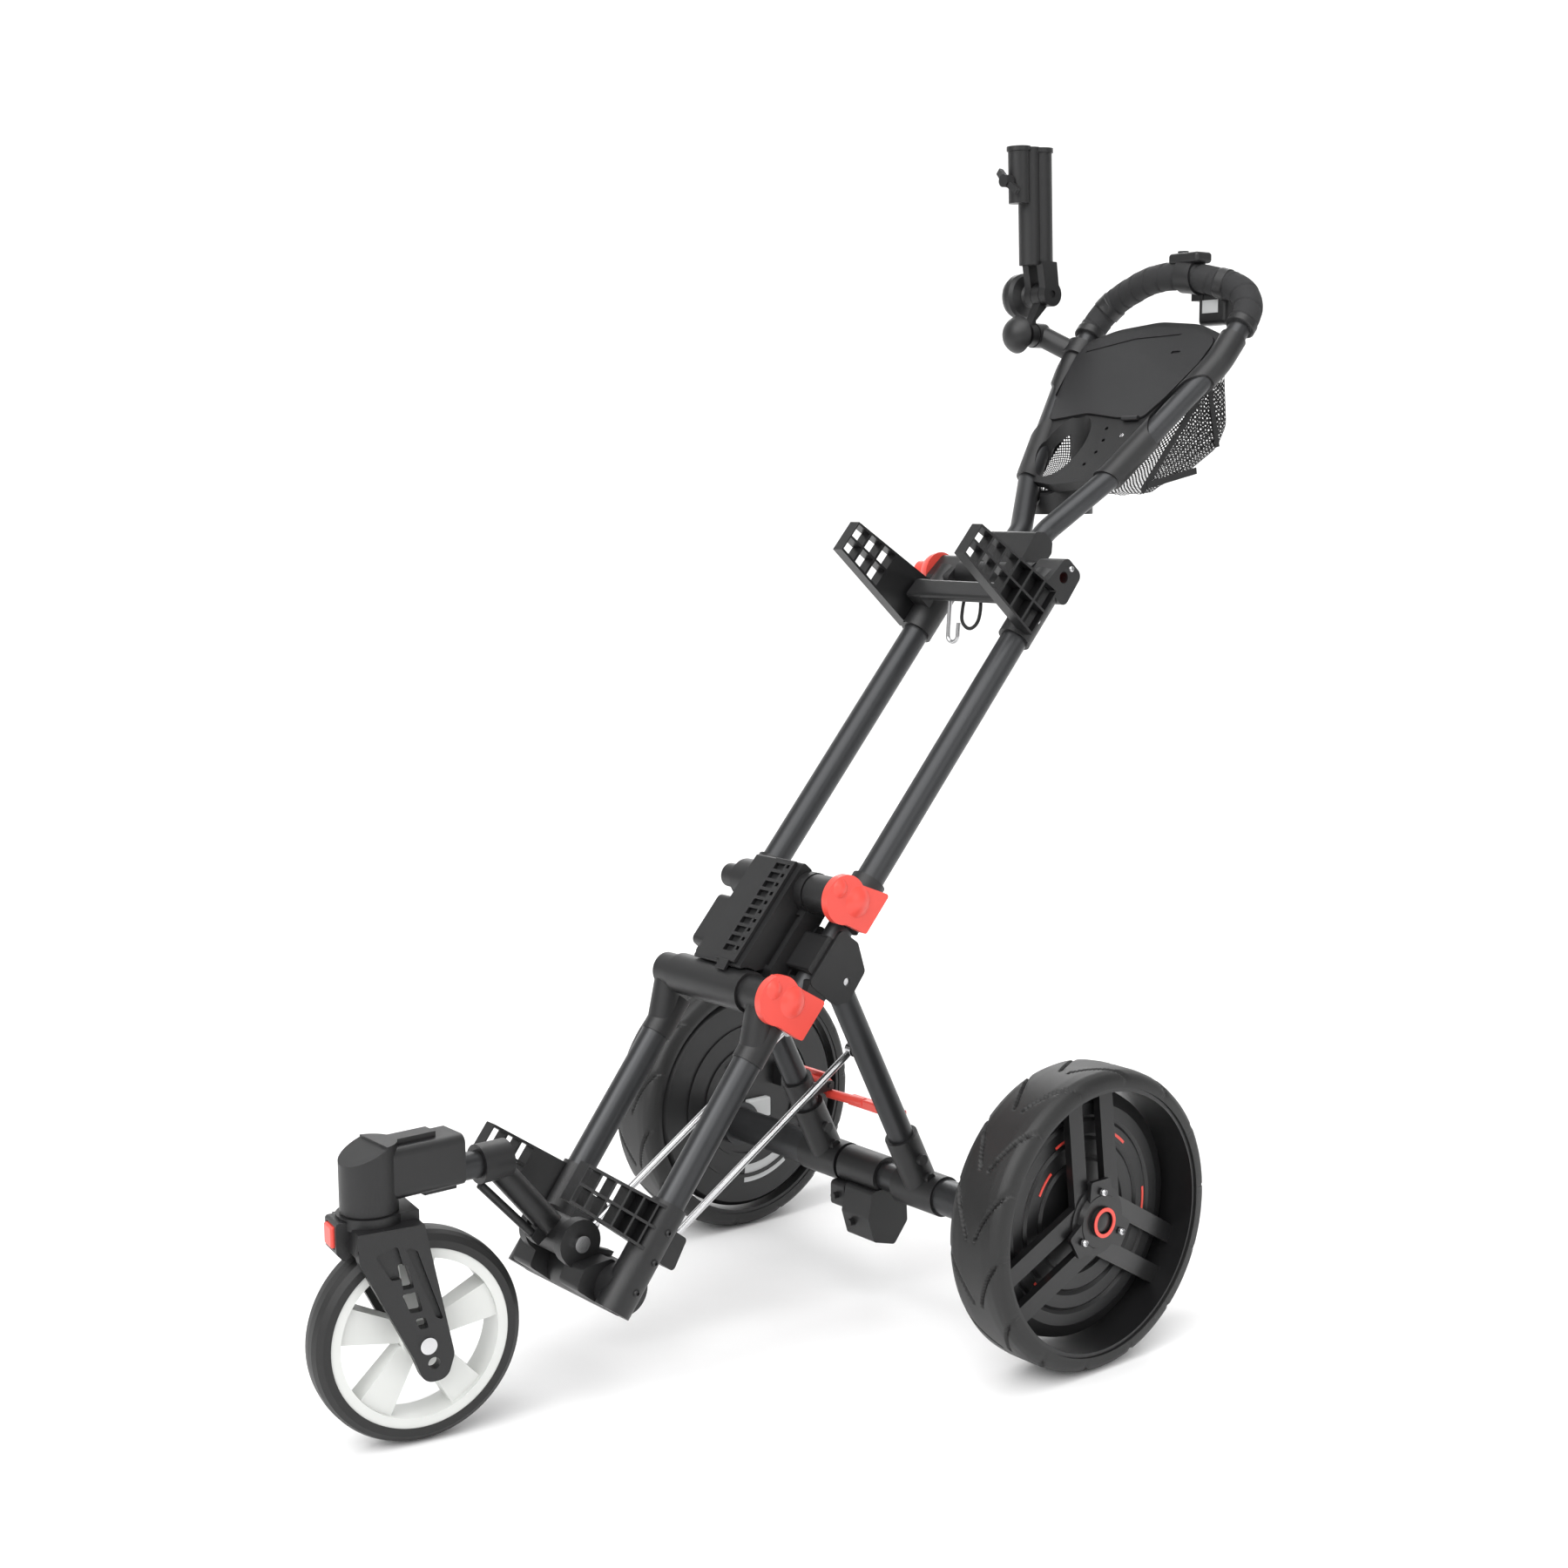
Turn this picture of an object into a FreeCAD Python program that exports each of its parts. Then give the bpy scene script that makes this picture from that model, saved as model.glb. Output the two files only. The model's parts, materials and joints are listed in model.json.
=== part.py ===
"""Electric golf trolley: a folding three-wheel frame with a powered pair of rear wheels.

Working axes while the shapes are made: X to the trolley's left, Y back towards the handle, Z up, with
the floor at Z = 0 and the rear wheels' axis at Y = 0. At the end everything moves so that the origin is
the bottom centre of the whole trolley. Side-view points are (y, z) pairs.
"""
import FreeCAD, Part
import math
import os

V = FreeCAD.Vector
X_AXIS = V(1, 0, 0)

# ---------------------------------------------------------------- driving dimensions, millimetres and degrees
REAR_R = 145.0              # rear tyre radius
REAR_OUT = 300.0            # rear wheel's outer face, from the centre plane
REAR_W = 66.0               # rear tyre width
REAR_HUB = (0.0, REAR_R)    # rear wheels' axis
FRONT_R = 96.0              # front tyre radius
FRONT_W = 37.0              # front tyre width
FRONT_SEAT = FRONT_R - 15.0     # front rim's outer radius, where the tyre sits
SWIVEL_Y = -606.0           # the caster's vertical swivel axis
TRAIL = 37.0                # front wheel's axis behind the swivel axis
SWIVEL_ANGLE = -10.0        # how far the caster is turned at rest
TUBE_X = 73.0               # frame tubes' distance from the centre plane
TUBE_R = 14.0               # frame tube radius
TUBE_BORE = 12.2            # frame tube inner radius
UPPER_ANGLE = 48.7          # slope of the upper frame and of the centre rails
LOWER_ANGLE = 52.1          # slope of the lower frame
UPPER_START = (-81.0, 467.0)    # a point on the upper tubes' axis, above the fold
UPPER_TOP = (92.0, 666.0)       # a point on the upper tubes' axis, at the bag bracket
LOWER_START = (-239.0, 307.0)   # a point on the lower tubes' axis, below the fold
UPPER_PIVOT = (-147.0, 442.0)   # upper fold axis
LOWER_PIVOT = (-228.0, 357.0)   # lower fold axis
LEG_PIVOT = (-139.0, 360.0)     # rear legs' fold axis
AXLE_TUBE = (-22.0, 125.0)      # axis of the tube that joins the rear legs
LEG_X = 73.0                # rear legs' distance from the centre plane
LEG_R = 13.0
ARM_PIVOT = (-412.0, 148.0)     # front arm's fold axis
ARM_TOP = (-482.0, 231.0)
HANDLE_PIVOT = (153.0, 736.0)   # handle's tilt axis
KNOB_R = 22.0                   # red knob on that axis
TRAY_START = (245.0, 836.0)     # bottom edge of the console tray's top face
TRAY_ANGLE = 47.9
ROD_DOWN = 90.0             # stay rod's stud on the rear leg, below the leg's pivot
ROD_BOTTOM = (-345.0, 122.0)    # stay rod's eye beside the base
ROD_X = 52.0
UMBRELLA_X = -152.0
UMBRELLA_TILT = (368.0, 1044.0)     # fore-and-aft tilt axis
UMBRELLA_SWING = (352.0, 998.0)     # side-to-side tilt axis
RUNNING = 0.05              # radial clearance of a running fit
GAP = 0.6                   # clearance between parts that pass each other
SIDES = (1, -1)


# ---------------------------------------------------------------- helpers
def step(point, angle, along, across=0.0):
    """A side-view point moved along a slope, and across it towards the front."""
    c = math.cos(math.radians(angle))
    s = math.sin(math.radians(angle))
    return (point[0] + along * c - across * s, point[1] + along * s + across * c)


def at(x, point):
    return V(x, point[0], point[1])


def fuse(shapes):
    whole = shapes[0]
    for shape in shapes[1:]:
        whole = whole.fuse(shape)
    return whole.removeSplitter()


def cut(shape, tools):
    for tool in tools:
        shape = shape.cut(tool)
    return shape


def box(x, y, z):
    """A box from its (low, high) limits."""
    return Part.makeBox(x[1] - x[0], y[1] - y[0], z[1] - z[0], V(x[0], y[0], z[0]))


def round_box(x, y, z, radius):
    shape = box(x, y, z)
    return shape.makeFillet(radius, shape.Edges)


def bar(start, end, radius):
    """A solid round bar between two points."""
    return Part.makeCylinder(radius, start.distanceToPoint(end), start, end - start)


def pin(x0, x1, point, radius):
    """A round bar along X."""
    return Part.makeCylinder(radius, x1 - x0, at(x0, point), X_AXIS)


def pipe(start, end, radius, bore):
    return bar(start, end, radius).cut(bar(start, end, bore))


def outline(points, radius):
    """A closed wire through 3-D points in one plane, with its corners rounded by one radius or a list."""
    count = len(points)
    radii = radius if isinstance(radius, (list, tuple)) else [radius] * count
    edges = []
    runs = []
    for i, corner in enumerate(points):
        to_last = points[i - 1] - corner
        to_next = points[(i + 1) % count] - corner
        reach_limit = 0.49 * min(to_last.Length, to_next.Length)
        to_last.normalize()
        to_next.normalize()
        half = 0.5 * to_last.getAngle(to_next)
        reach = min(radii[i] / math.tan(half), reach_limit)
        start = corner + to_last * reach
        end = corner + to_next * reach
        runs.append((start, end))
        if reach > 1e-3:
            real = reach * math.tan(half)
            inward = to_last + to_next
            inward.normalize()
            middle = corner + inward * (real / math.sin(half) - real)
            edges.append(Part.Arc(start, middle, end).toShape())
        else:
            edges.append(None)
    loop = []
    for i in range(count):
        if edges[i]:
            loop.append(edges[i])
        end, following = runs[i][1], runs[(i + 1) % count][0]
        if end.distanceToPoint(following) > 1e-4:
            loop.append(Part.LineSegment(end, following).toShape())
    return Part.Wire(loop)


def slab(points, x0, x1, radius=0):
    """A side-view outline given a thickness in X."""
    face = Part.Face(outline([at(x0, p) for p in points], radius))
    return face.extrude(V(x1 - x0, 0, 0))


def sheet(points, thickness, radius=0, low=0.0):
    """A flat outline in local X, Y given a thickness in Z."""
    face = Part.Face(outline([V(p[0], p[1], low) for p in points], radius))
    return face.extrude(V(0, 0, thickness))


def turned(profile, point):
    """A ring or disc about the X direction through a side-view point, from its (x, radius) profile."""
    corners = [V(x, point[0], point[1] + r) for x, r in profile]
    face = Part.Face(Part.makePolygon(corners + [corners[0]]))
    return face.revolve(at(0, point), X_AXIS, 360)


def swept(points, radius, bends):
    """A round bar along a path whose corners are rounded by the radii in bends."""
    edges = []
    last = points[0]
    for before, corner, after, bend in zip(points, points[1:], points[2:], bends):
        back = before - corner
        ahead = after - corner
        limit = 0.49 * min(back.Length, ahead.Length)
        back.normalize()
        ahead.normalize()
        half = 0.5 * back.getAngle(ahead)
        reach = min(bend / math.tan(half), limit)
        real = reach * math.tan(half)
        inward = back + ahead
        inward.normalize()
        start = corner + back * reach
        end = corner + ahead * reach
        middle = corner + inward * (real / math.sin(half) - real)
        edges.append(Part.LineSegment(last, start).toShape())
        edges.append(Part.Arc(start, middle, end).toShape())
        last = end
    edges.append(Part.LineSegment(last, points[-1]).toShape())
    path = Part.Wire(edges)
    ring = Part.Wire(Part.makeCircle(radius, points[0], points[1] - points[0]))
    return path.makePipeShell([ring], True, True)


def place(shape, point, angle):
    """Turns a shape made flat (local Y along the slope, local Z towards the front) into the side view."""
    moved = shape.copy()
    moved.rotate(V(0, 0, 0), X_AXIS, angle)
    moved.translate(at(0, point))
    return moved


def mirror(shape):
    return shape.mirror(V(0, 0, 0), X_AXIS)


def both(shape):
    return Part.makeCompound([shape, mirror(shape)])


# ---------------------------------------------------------------- rear wheels (made on the left, at +X)
RIM_R = REAR_R - 16.5           # rim's outer radius, where the tyre sits
RIM_OPEN_R = RIM_R - 4.0
WHEEL_IN = REAR_OUT - REAR_W
HUB_X = REAR_OUT - 6.0          # the hub plate's outer face
HOUSING_R = 121.0               # motor housing's radius
HOUSING_IN = WHEEL_IN + 4.0
HOUSING_OUT = WHEEL_IN + 33.0
SPOKE_TURNS = (90, 210, 330)     # directions of the spoke pairs, counted from the back
SPOKE_OFFSET = 21.0
SPOKE_HALF = 9.0
SHAFT_R = 8.0
SHAFT_IN = HOUSING_OUT - 20.0    # the drive shaft's inner end


def rear_tyre():
    edge = WHEEL_IN
    crown = REAR_R
    profile = [(edge, RIM_R), (edge, crown - 9), (edge + 3, crown - 4), (edge + 9, crown - 1),
               (edge + 18, crown), (edge + REAR_W - 18, crown), (edge + REAR_W - 9, crown - 1),
               (edge + REAR_W - 3, crown - 4), (edge + REAR_W, crown - 9), (edge + REAR_W, RIM_R)]
    return turned(profile, REAR_HUB)


def rear_rim():
    """Barrel and three pairs of level bars; each bar meets its neighbour in a bend beside the hub."""
    barrel = turned([(WHEEL_IN + 1, RIM_R), (WHEEL_IN + 1, RIM_OPEN_R), (REAR_OUT - 2, RIM_OPEN_R),
                     (REAR_OUT - 2, RIM_R)], REAR_HUB)
    hub = turned([(HUB_X - 14, 9.2), (HUB_X - 14, 34), (HUB_X - 5, 34), (HUB_X - 5, 9.2)], REAR_HUB)
    parts = [barrel, hub]
    for turn in SPOKE_TURNS:
        for middle in (-SPOKE_OFFSET, SPOKE_OFFSET):
            ends = []
            for x, reach in ((HUB_X - 5, 10), (HUB_X - 17, RIM_OPEN_R + 1)):
                corners = [V(x - 8, reach, middle - SPOKE_HALF), V(x, reach, middle - SPOKE_HALF),
                           V(x, reach, middle + SPOKE_HALF), V(x - 8, reach, middle + SPOKE_HALF)]
                ends.append(Part.makePolygon(corners + [corners[0]]))
            spoke = Part.makeLoft(ends, True, True)
            spoke.rotate(V(0, 0, 0), X_AXIS, turn)
            spoke.translate(at(0, REAR_HUB))
            parts.append(spoke)
    rim = fuse(parts)
    keep = turned([(WHEEL_IN, 9.2), (WHEEL_IN, RIM_R), (REAR_OUT, RIM_R), (REAR_OUT, 9.2)], REAR_HUB)
    return rim.common(keep)


def hub_plate():
    """The drive plate with its shaft, which turns in the housing's bearing."""
    disc = turned([(HUB_X - 4.9, 0), (HUB_X - 4.9, 27), (HUB_X, 25), (HUB_X, 0)], REAR_HUB)
    ring = turned([(HUB_X, 10.5), (HUB_X, 15), (HUB_X + 4, 14.5), (HUB_X + 4, 10.5)], REAR_HUB)
    shaft = pin(SHAFT_IN, HUB_X - 4.9, REAR_HUB, SHAFT_R)
    lobes = []
    for turn in SPOKE_TURNS:
        corners = [step(REAR_HUB, turn, 0, -17), step(REAR_HUB, turn, 40, -13),
                   step(REAR_HUB, turn, 40, 13), step(REAR_HUB, turn, 0, 17)]
        lobes.append(slab(corners, HUB_X - 4.9, HUB_X - 0.8, 3))
        lobes.append(pin(HUB_X - 2, HUB_X + 2.0, step(REAR_HUB, turn, 29), 3.2))
    return fuse([disc, ring, shaft] + lobes)


def motor_housing():
    """The inner shell of the fixed drum that carries motor and battery."""
    base = HOUSING_IN
    shell = turned([(base, 0), (base, HOUSING_R - 5), (base + 5, HOUSING_R), (HOUSING_OUT - 12, HOUSING_R),
                    (HOUSING_OUT - 12, HOUSING_R - 3), (base + 3, HOUSING_R - 7), (base + 3, 0)], REAR_HUB)
    ribs = []
    for radius in (60, 84):
        ribs.append(turned([(base - 2, radius), (base, radius), (base, radius + 4), (base - 2, radius + 4)],
                           REAR_HUB))
    flange = pin(base - 3, base, AXLE_TUBE, 24)
    plug_box = box((base - 14, base), (34, 66), (158, 182))
    return fuse([shell, flange, plug_box] + ribs)


def motor_cover():
    """The ribbed outer shell, seen between the spokes."""
    out = HOUSING_OUT
    back = out - 11.9
    profile = [(back, HOUSING_R), (out - 4, HOUSING_R - 2), (out, HOUSING_R - 14), (out, 96),
               (out - 2, 93), (out, 90), (out, 78), (out - 2, 75), (out, 72), (out, 58), (out - 2, 55),
               (out, 52), (out, 19), (out - 3, 19), (out - 3, HOUSING_R - 14), (back, HOUSING_R - 3)]
    return turned(profile, REAR_HUB)


def wheel_bearing():
    out = HOUSING_OUT
    bore = SHAFT_R + RUNNING
    return turned([(out - 11, bore), (out - 11, 18.9), (out - 1, 18.9), (out - 1, bore)], REAR_HUB)


def hub_motor():
    """Can motor round the shaft's inner end, held by the drum."""
    low, high = HOUSING_IN + 3.2, HOUSING_OUT - 11.2
    floor = SHAFT_IN - 1
    socket = SHAFT_R + 0.3
    return turned([(low, 0), (low, 44), (high, 44), (high, socket), (floor, socket), (floor, 0)], REAR_HUB)


def battery_pack():
    """Flat cells wrapped round the motor in a part ring."""
    low, high = HOUSING_IN + 3.2, HOUSING_OUT - 14
    ring = turned([(low, 50), (low, 100), (high, 100), (high, 50)], REAR_HUB)
    gap = box((low - 1, high + 1), (-110, 110), (REAR_R + 20, REAR_R + 110))
    return ring.cut(gap)


# ---------------------------------------------------------------- rear axle group
def leg_line(distance):
    """A side-view point on a rear leg's axis, this far down from the leg's pivot."""
    total = math.dist(LEG_PIVOT, AXLE_TUBE)
    share = distance / total
    return (LEG_PIVOT[0] + (AXLE_TUBE[0] - LEG_PIVOT[0]) * share,
            LEG_PIVOT[1] + (AXLE_TUBE[1] - LEG_PIVOT[1]) * share)


LEG_LENGTH = math.dist(LEG_PIVOT, AXLE_TUBE)
ROD_TOP = leg_line(ROD_DOWN)
LEG_PIN_R = 4.0
STUD_R = 3.0


def rear_legs():
    """Two legs, each with the stud that the stay rod turns on."""
    leg = bar(at(LEG_X, leg_line(0)), at(LEG_X, leg_line(LEG_LENGTH - 22)), LEG_R)
    eye = pin(LEG_X - LEG_R, LEG_X + LEG_R, LEG_PIVOT, LEG_R)
    stud = pin(ROD_X - 6, LEG_X - LEG_R + 4, ROD_TOP, STUD_R)
    hole = pin(LEG_X - 20, LEG_X + 20, LEG_PIVOT, LEG_PIN_R + RUNNING)
    return both(fuse([leg, eye, stud]).cut(hole))


def axle_brackets():
    """The T-shaped castings that join legs and axle tube."""
    sleeve = bar(at(LEG_X, leg_line(LEG_LENGTH - 70)), at(LEG_X, AXLE_TUBE), LEG_R + 4)
    collar = pin(LEG_X - 29, LEG_X + 31, AXLE_TUBE, 20.5)
    web = slab([leg_line(LEG_LENGTH - 50), step(AXLE_TUBE, 0, 24, 0), step(AXLE_TUBE, 0, 8, -22),
                step(AXLE_TUBE, 0, -18, -10)], LEG_X - 7, LEG_X + 7, 3)
    bosses = []
    for along in (20, 44):
        centre = leg_line(LEG_LENGTH - along)
        bosses.append(pin(LEG_X - 21, LEG_X + 21, centre, 5.5))
    solid = fuse([sleeve, collar, web] + bosses)
    solid = cut(solid, [bar(at(LEG_X, leg_line(-5)), at(LEG_X, leg_line(LEG_LENGTH - 22)), LEG_R),
                        pin(LEG_X - 60, LEG_X + 60, AXLE_TUBE, 15.0)])
    return Part.makeCompound([solid, mirror(solid), pedal_bracket()])


def axle_tube():
    """One tube through both brackets, with a stub flange bolted to each motor housing."""
    reach = HOUSING_IN - 3.0
    tube = pin(-reach + 6, reach - 6, AXLE_TUBE, 15.0)
    stubs = []
    for side in SIDES:
        low, high = sorted((side * (LEG_X + 31.0), side * (reach)))
        stubs.append(pin(low, high, AXLE_TUBE, 18.0))
        low, high = sorted((side * (reach - 10), side * reach))
        stubs.append(pin(low, high, AXLE_TUBE, 24.0))
    bore = pin(-reach - 1, reach + 1, AXLE_TUBE, 12.0)
    return fuse([tube] + stubs).cut(bore)


def axle_clamp():
    """Accessory clamp hanging under the axle tube."""
    y, z = AXLE_TUBE
    body = slab([(y - 22, z - 12), (y + 24, z - 12), (y + 26, z - 52), (y + 8, z - 74), (y - 20, z - 66),
                 (y - 28, z - 40)], -22, 20, 5)
    lobe = slab([(y - 24, z - 14), (y + 10, z - 14), (y + 6, z - 44), (y - 24, z - 40)], -44, -23, 5)
    strap = pin(-40, 18, AXLE_TUBE, 20)
    link = box((-24, -20), (y - 14, y + 6), (z - 38, z - 16))
    screws = [bar(V(-34, y - 30, z - 28), V(-34, y - 10, z - 28), 3.5),
              bar(V(-8, y - 31, z - 50), V(-8, y - 10, z - 50), 4.0)]
    return fuse([body, lobe, strap, link] + screws).cut(pin(-60, 60, AXLE_TUBE, 15.0))


PEDAL_PIVOT = leg_line(LEG_LENGTH - 92)


def brake_pedal():
    """Cranked foot bar hung behind the right leg, with an end boss on its own pivot pin."""
    y, z = PEDAL_PIVOT
    rear = y + 28
    boss = pin(-LEG_X - 12, -LEG_X + 12, (rear, z), 7)
    arm = slab([(rear - 4, z + 3), (rear + 4, z + 3), (rear + 9, z - 12), (rear + 1, z - 12)],
               -LEG_X + 4, -LEG_X + 11, 1.5)
    wing = box((-LEG_X - 42, -LEG_X + 10), (rear - 2, rear + 2), (z + 6.5, z + 12))
    bar_a = bar(V(-LEG_X + 8, rear + 5, z - 11), V(-8, rear + 5, z - 9), 5)
    bar_b = slab([(rear + 1, z - 15), (rear + 12, z - 15), (rear + 12, z - 5), (rear + 1, z - 5)],
                 -30, 48, 2)
    bore = pin(-LEG_X - 30, -LEG_X + 30, (rear, z), 3.0 + RUNNING)
    return fuse([boss, arm, wing, bar_a, bar_b]).cut(bore)


def pedal_bracket():
    """Ears on the right leg and the pin through the pedal's boss."""
    y, z = PEDAL_PIVOT
    rear = y + 28
    ears = []
    for x in (-LEG_X - 16, -LEG_X + 13):
        corners = [(y + 2, z + 7), (rear + 5, z + 4.6), (rear + 5, z - 4.6), (y + 2, z - 8)]
        ears.append(slab(corners, x, x + 3, 3))
    band = bar(at(-LEG_X, leg_line(LEG_LENGTH - 104)), at(-LEG_X, leg_line(LEG_LENGTH - 80)), LEG_R + 3.5)
    hollow = bar(at(-LEG_X, leg_line(LEG_LENGTH - 130)), at(-LEG_X, leg_line(LEG_LENGTH - 60)), LEG_R)
    return fuse(ears + [band.cut(hollow), pin(-LEG_X - 18, -LEG_X + 18, (rear, z), 3.0)]).cut(hollow)


def stay_rods():
    """The two bright rods from the rear legs to the base, with their end eyes."""
    rod = bar(at(ROD_X, ROD_TOP), at(ROD_X, ROD_BOTTOM), 3.6)
    eye_top = pin(ROD_X - 4, ROD_X + 4, ROD_TOP, 7)
    eye_low = pin(ROD_X - 4, ROD_X + 4, ROD_BOTTOM, 7)
    hole = pin(ROD_X - 9, ROD_X + 9, ROD_TOP, STUD_R + RUNNING)
    return both(fuse([rod, eye_top, eye_low]).cut(hole))


# ---------------------------------------------------------------- centre body
BARREL_R = 20.0
BARREL_X = 55.0         # barrels' half length
HINGE_PIN_R = 5.0
COVER_IN = 91.0         # hinge covers' inner face
COVER_OUT = 99.0
LUG_END = 80.0          # right-hand end of the two fold joints
RAIL_TOP = -78.0        # rail ends, along the slope from UPPER_START
RAIL_LOW = -158.0
SLEEVE_R = 17.5


def upper(along, across=0.0):
    """A side-view point in the upper frame's and the centre rails' own axes."""
    return step(UPPER_START, UPPER_ANGLE, along, across)


def lower(along, across=0.0):
    return step(LOWER_START, LOWER_ANGLE, along, across)


def centre_rails():
    return both(pipe(at(TUBE_X, upper(RAIL_LOW)), at(TUBE_X, upper(RAIL_TOP)), TUBE_R - 1, TUBE_BORE - 1))


HOOD_LOW = -28.0        # the raised hood that carries the latch strap
HOOD_HIGH = 44.0


def centre_casting():
    """Upper barrel, front plate with its hood and sunk panel, rail saddles, sockets and the legs' ears."""
    barrel = pin(-BARREL_X, BARREL_X, UPPER_PIVOT, BARREL_R)
    plate = slab([upper(-54, 34), upper(-54, 10), upper(-148, 6), upper(-158, 12), upper(-158, 26),
                  upper(-150, 32), upper(-84, 32)], -BARREL_X, BARREL_X, 4)
    panel = slab([upper(-88, 40), upper(-88, 29), upper(-146, 29), upper(-146, 40)], -50, 50, 1)
    panel = panel.cut(box((HOOD_LOW, HOOD_HIGH), (-400, 200), (200, 700)))
    hood = slab([upper(-44, 44), upper(-44, 57), upper(-166, 57), upper(-166, 48), upper(-150, 30),
                 upper(-62, 30)], HOOD_LOW, HOOD_HIGH, 3)
    saddles = [hood]
    for side in SIDES:
        low, high = sorted((side * (BARREL_X - 8), side * (COVER_IN - 3)))
        saddles.append(slab([upper(-96, 20), upper(-96, 2), upper(-136, 2), upper(-136, 20)], low, high, 3))
        for x in (BARREL_X - 1, COVER_IN - 4):
            low, high = sorted((side * x, side * (x + 3.6)))
            saddles.append(slab([upper(-84, 12), upper(-82, -14), upper(-98, -40), upper(-132, -42),
                                 upper(-144, -30), upper(-146, 12)], low, high, 6))
        low, high = sorted((side * (BARREL_X + 1), side * (COVER_IN - 1)))
        saddles.append(slab([upper(-140, 12), upper(-140, -16), upper(-164, -16), upper(-164, 6)],
                            low, high, 3))
    shell = slab([upper(-80, 27), upper(-80, -16), upper(-139, -16), upper(-139, 27)],
                 -COVER_IN + 4.4, -BARREL_X, 7)
    solid = fuse([barrel, plate, shell] + saddles)
    tools = [panel, pin(-130, 130, UPPER_PIVOT, HINGE_PIN_R), pin(-130, 130, LEG_PIVOT, LEG_PIN_R),
             pin(-130, 130, LOWER_PIVOT, BARREL_R + 2),
             pin(-LEG_X - LEG_R - GAP, -LEG_X + LEG_R + GAP, LEG_PIVOT, LEG_R + GAP)]
    for side in SIDES:
        x = side * TUBE_X
        tools.append(bar(at(x, upper(RAIL_LOW - 20)), at(x, upper(RAIL_TOP + 60)), TUBE_R - 1))
    return cut(solid, tools)


def hinge_pins():
    """Pins of the two frame folds and of the two legs."""
    reach = COVER_OUT - 2
    pins = [pin(-LUG_END, reach, UPPER_PIVOT, HINGE_PIN_R), pin(-LUG_END, reach, LOWER_PIVOT, HINGE_PIN_R)]
    for side in SIDES:
        low, high = sorted((side * (BARREL_X - 3), side * (COVER_IN - 2)))
        pins.append(pin(low, high, LEG_PIVOT, LEG_PIN_R))
    return Part.makeCompound(pins)


def dome(point, radius, height):
    """A shallow round swelling on a hinge cover's outer face."""
    ball = (radius * radius + height * height) / (2 * height)
    centre = at(COVER_OUT + height - ball, point)
    outside = box((COVER_OUT - 1, COVER_OUT + height + 1), (point[0] - radius, point[0] + radius),
                  (point[1] - radius, point[1] + radius))
    return Part.makeSphere(ball, centre).common(outside)


def cover_shape(pivot, turn, back, ahead, behind):
    """A teardrop hinge cover: a round end on the pivot that widens to a straight back edge."""
    corners = [step(pivot, UPPER_ANGLE, ahead, back), step(pivot, UPPER_ANGLE, behind, back),
               step(pivot, UPPER_ANGLE, -22, 2), step(pivot, UPPER_ANGLE, 12 + turn, 21)]
    plate = fuse([slab(corners, COVER_IN, COVER_OUT, 3), pin(COVER_IN, COVER_OUT, pivot, 24)])
    large = dome(step(pivot, UPPER_ANGLE, 7, -14), 15, 5.5)
    small = dome(step(pivot, UPPER_ANGLE, 4, 13), 9, 4)
    return fuse([plate, large, small])


def upper_cover():
    cover = cover_shape(UPPER_PIVOT, 0, -43, 35, -11)
    return cover.cut(pin(0, COVER_OUT - 2, UPPER_PIVOT, HINGE_PIN_R + RUNNING))


def lower_cover():
    cover = cover_shape(LOWER_PIVOT, 4, -48, 29, -15)
    return cover.cut(pin(0, COVER_OUT - 2, LOWER_PIVOT, HINGE_PIN_R))


STRAP_X = 24.0


def latch_strap():
    """Rubber ladder strap lying on the hood, hooked over at its lower end."""
    holes = []
    for k in range(10):
        along = -52 - 10.5 * k
        for length, low, high in ((7, -12, 2), (4, 5, 9)):
            holes.append(slab([upper(along, 50), upper(along, 70), upper(along - length, 70),
                               upper(along - length, 50)], STRAP_X + low, STRAP_X + high))
    band = slab([upper(-46, 57.3), upper(-46, 61), upper(-163, 61), upper(-163, 57.3)],
                STRAP_X - 16, STRAP_X + 13, 1.5)
    tab = slab([upper(-162, 57.6), upper(-162, 61), upper(-173, 60), upper(-173, 57.6)], STRAP_X - 9,
               STRAP_X + 5, 1)
    return cut(fuse([band, tab]), holes + [pin(-70, 70, LOWER_PIVOT, BARREL_R + GAP)])


# ---------------------------------------------------------------- upper frame
def upper_hinge_end(lug_out, lug_radius, front):
    """Sleeve at the foot of an upper tube, with the lug that turns on the upper pin."""
    sleeve = bar(at(TUBE_X, upper(-74)), at(TUBE_X, upper(-22)), SLEEVE_R)
    eye = pin(BARREL_X + 1, lug_out, UPPER_PIVOT, lug_radius)
    web = slab([upper(-72, front), upper(-72, 0), upper(-34, 0), upper(-48, front)],
               BARREL_X + 1, lug_out, 2)
    solid = fuse([sleeve, eye, web]).cut(pin(0, 130, UPPER_PIVOT, HINGE_PIN_R + RUNNING))
    inner = box((0, BARREL_X + 0.6), (-400, 200), (200, 700))
    return cut(solid, [upper_tube_bar(TUBE_R), inner])


def upper_hinge_ends():
    left = upper_hinge_end(COVER_IN, 19, 33)
    right = upper_hinge_end(LUG_END, 12, 30)
    return Part.makeCompound([left, mirror(right)])


def top(along, across=0.0):
    """A side-view point in the bag bracket's axes."""
    return step(UPPER_TOP, UPPER_ANGLE, along, across)


def upper_tube_bar(radius):
    return bar(at(TUBE_X, upper(-66)), at(TUBE_X, top(85.5)), radius)


def upper_tubes():
    return both(upper_tube_bar(TUBE_R).cut(upper_tube_bar(TUBE_BORE)))


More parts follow.
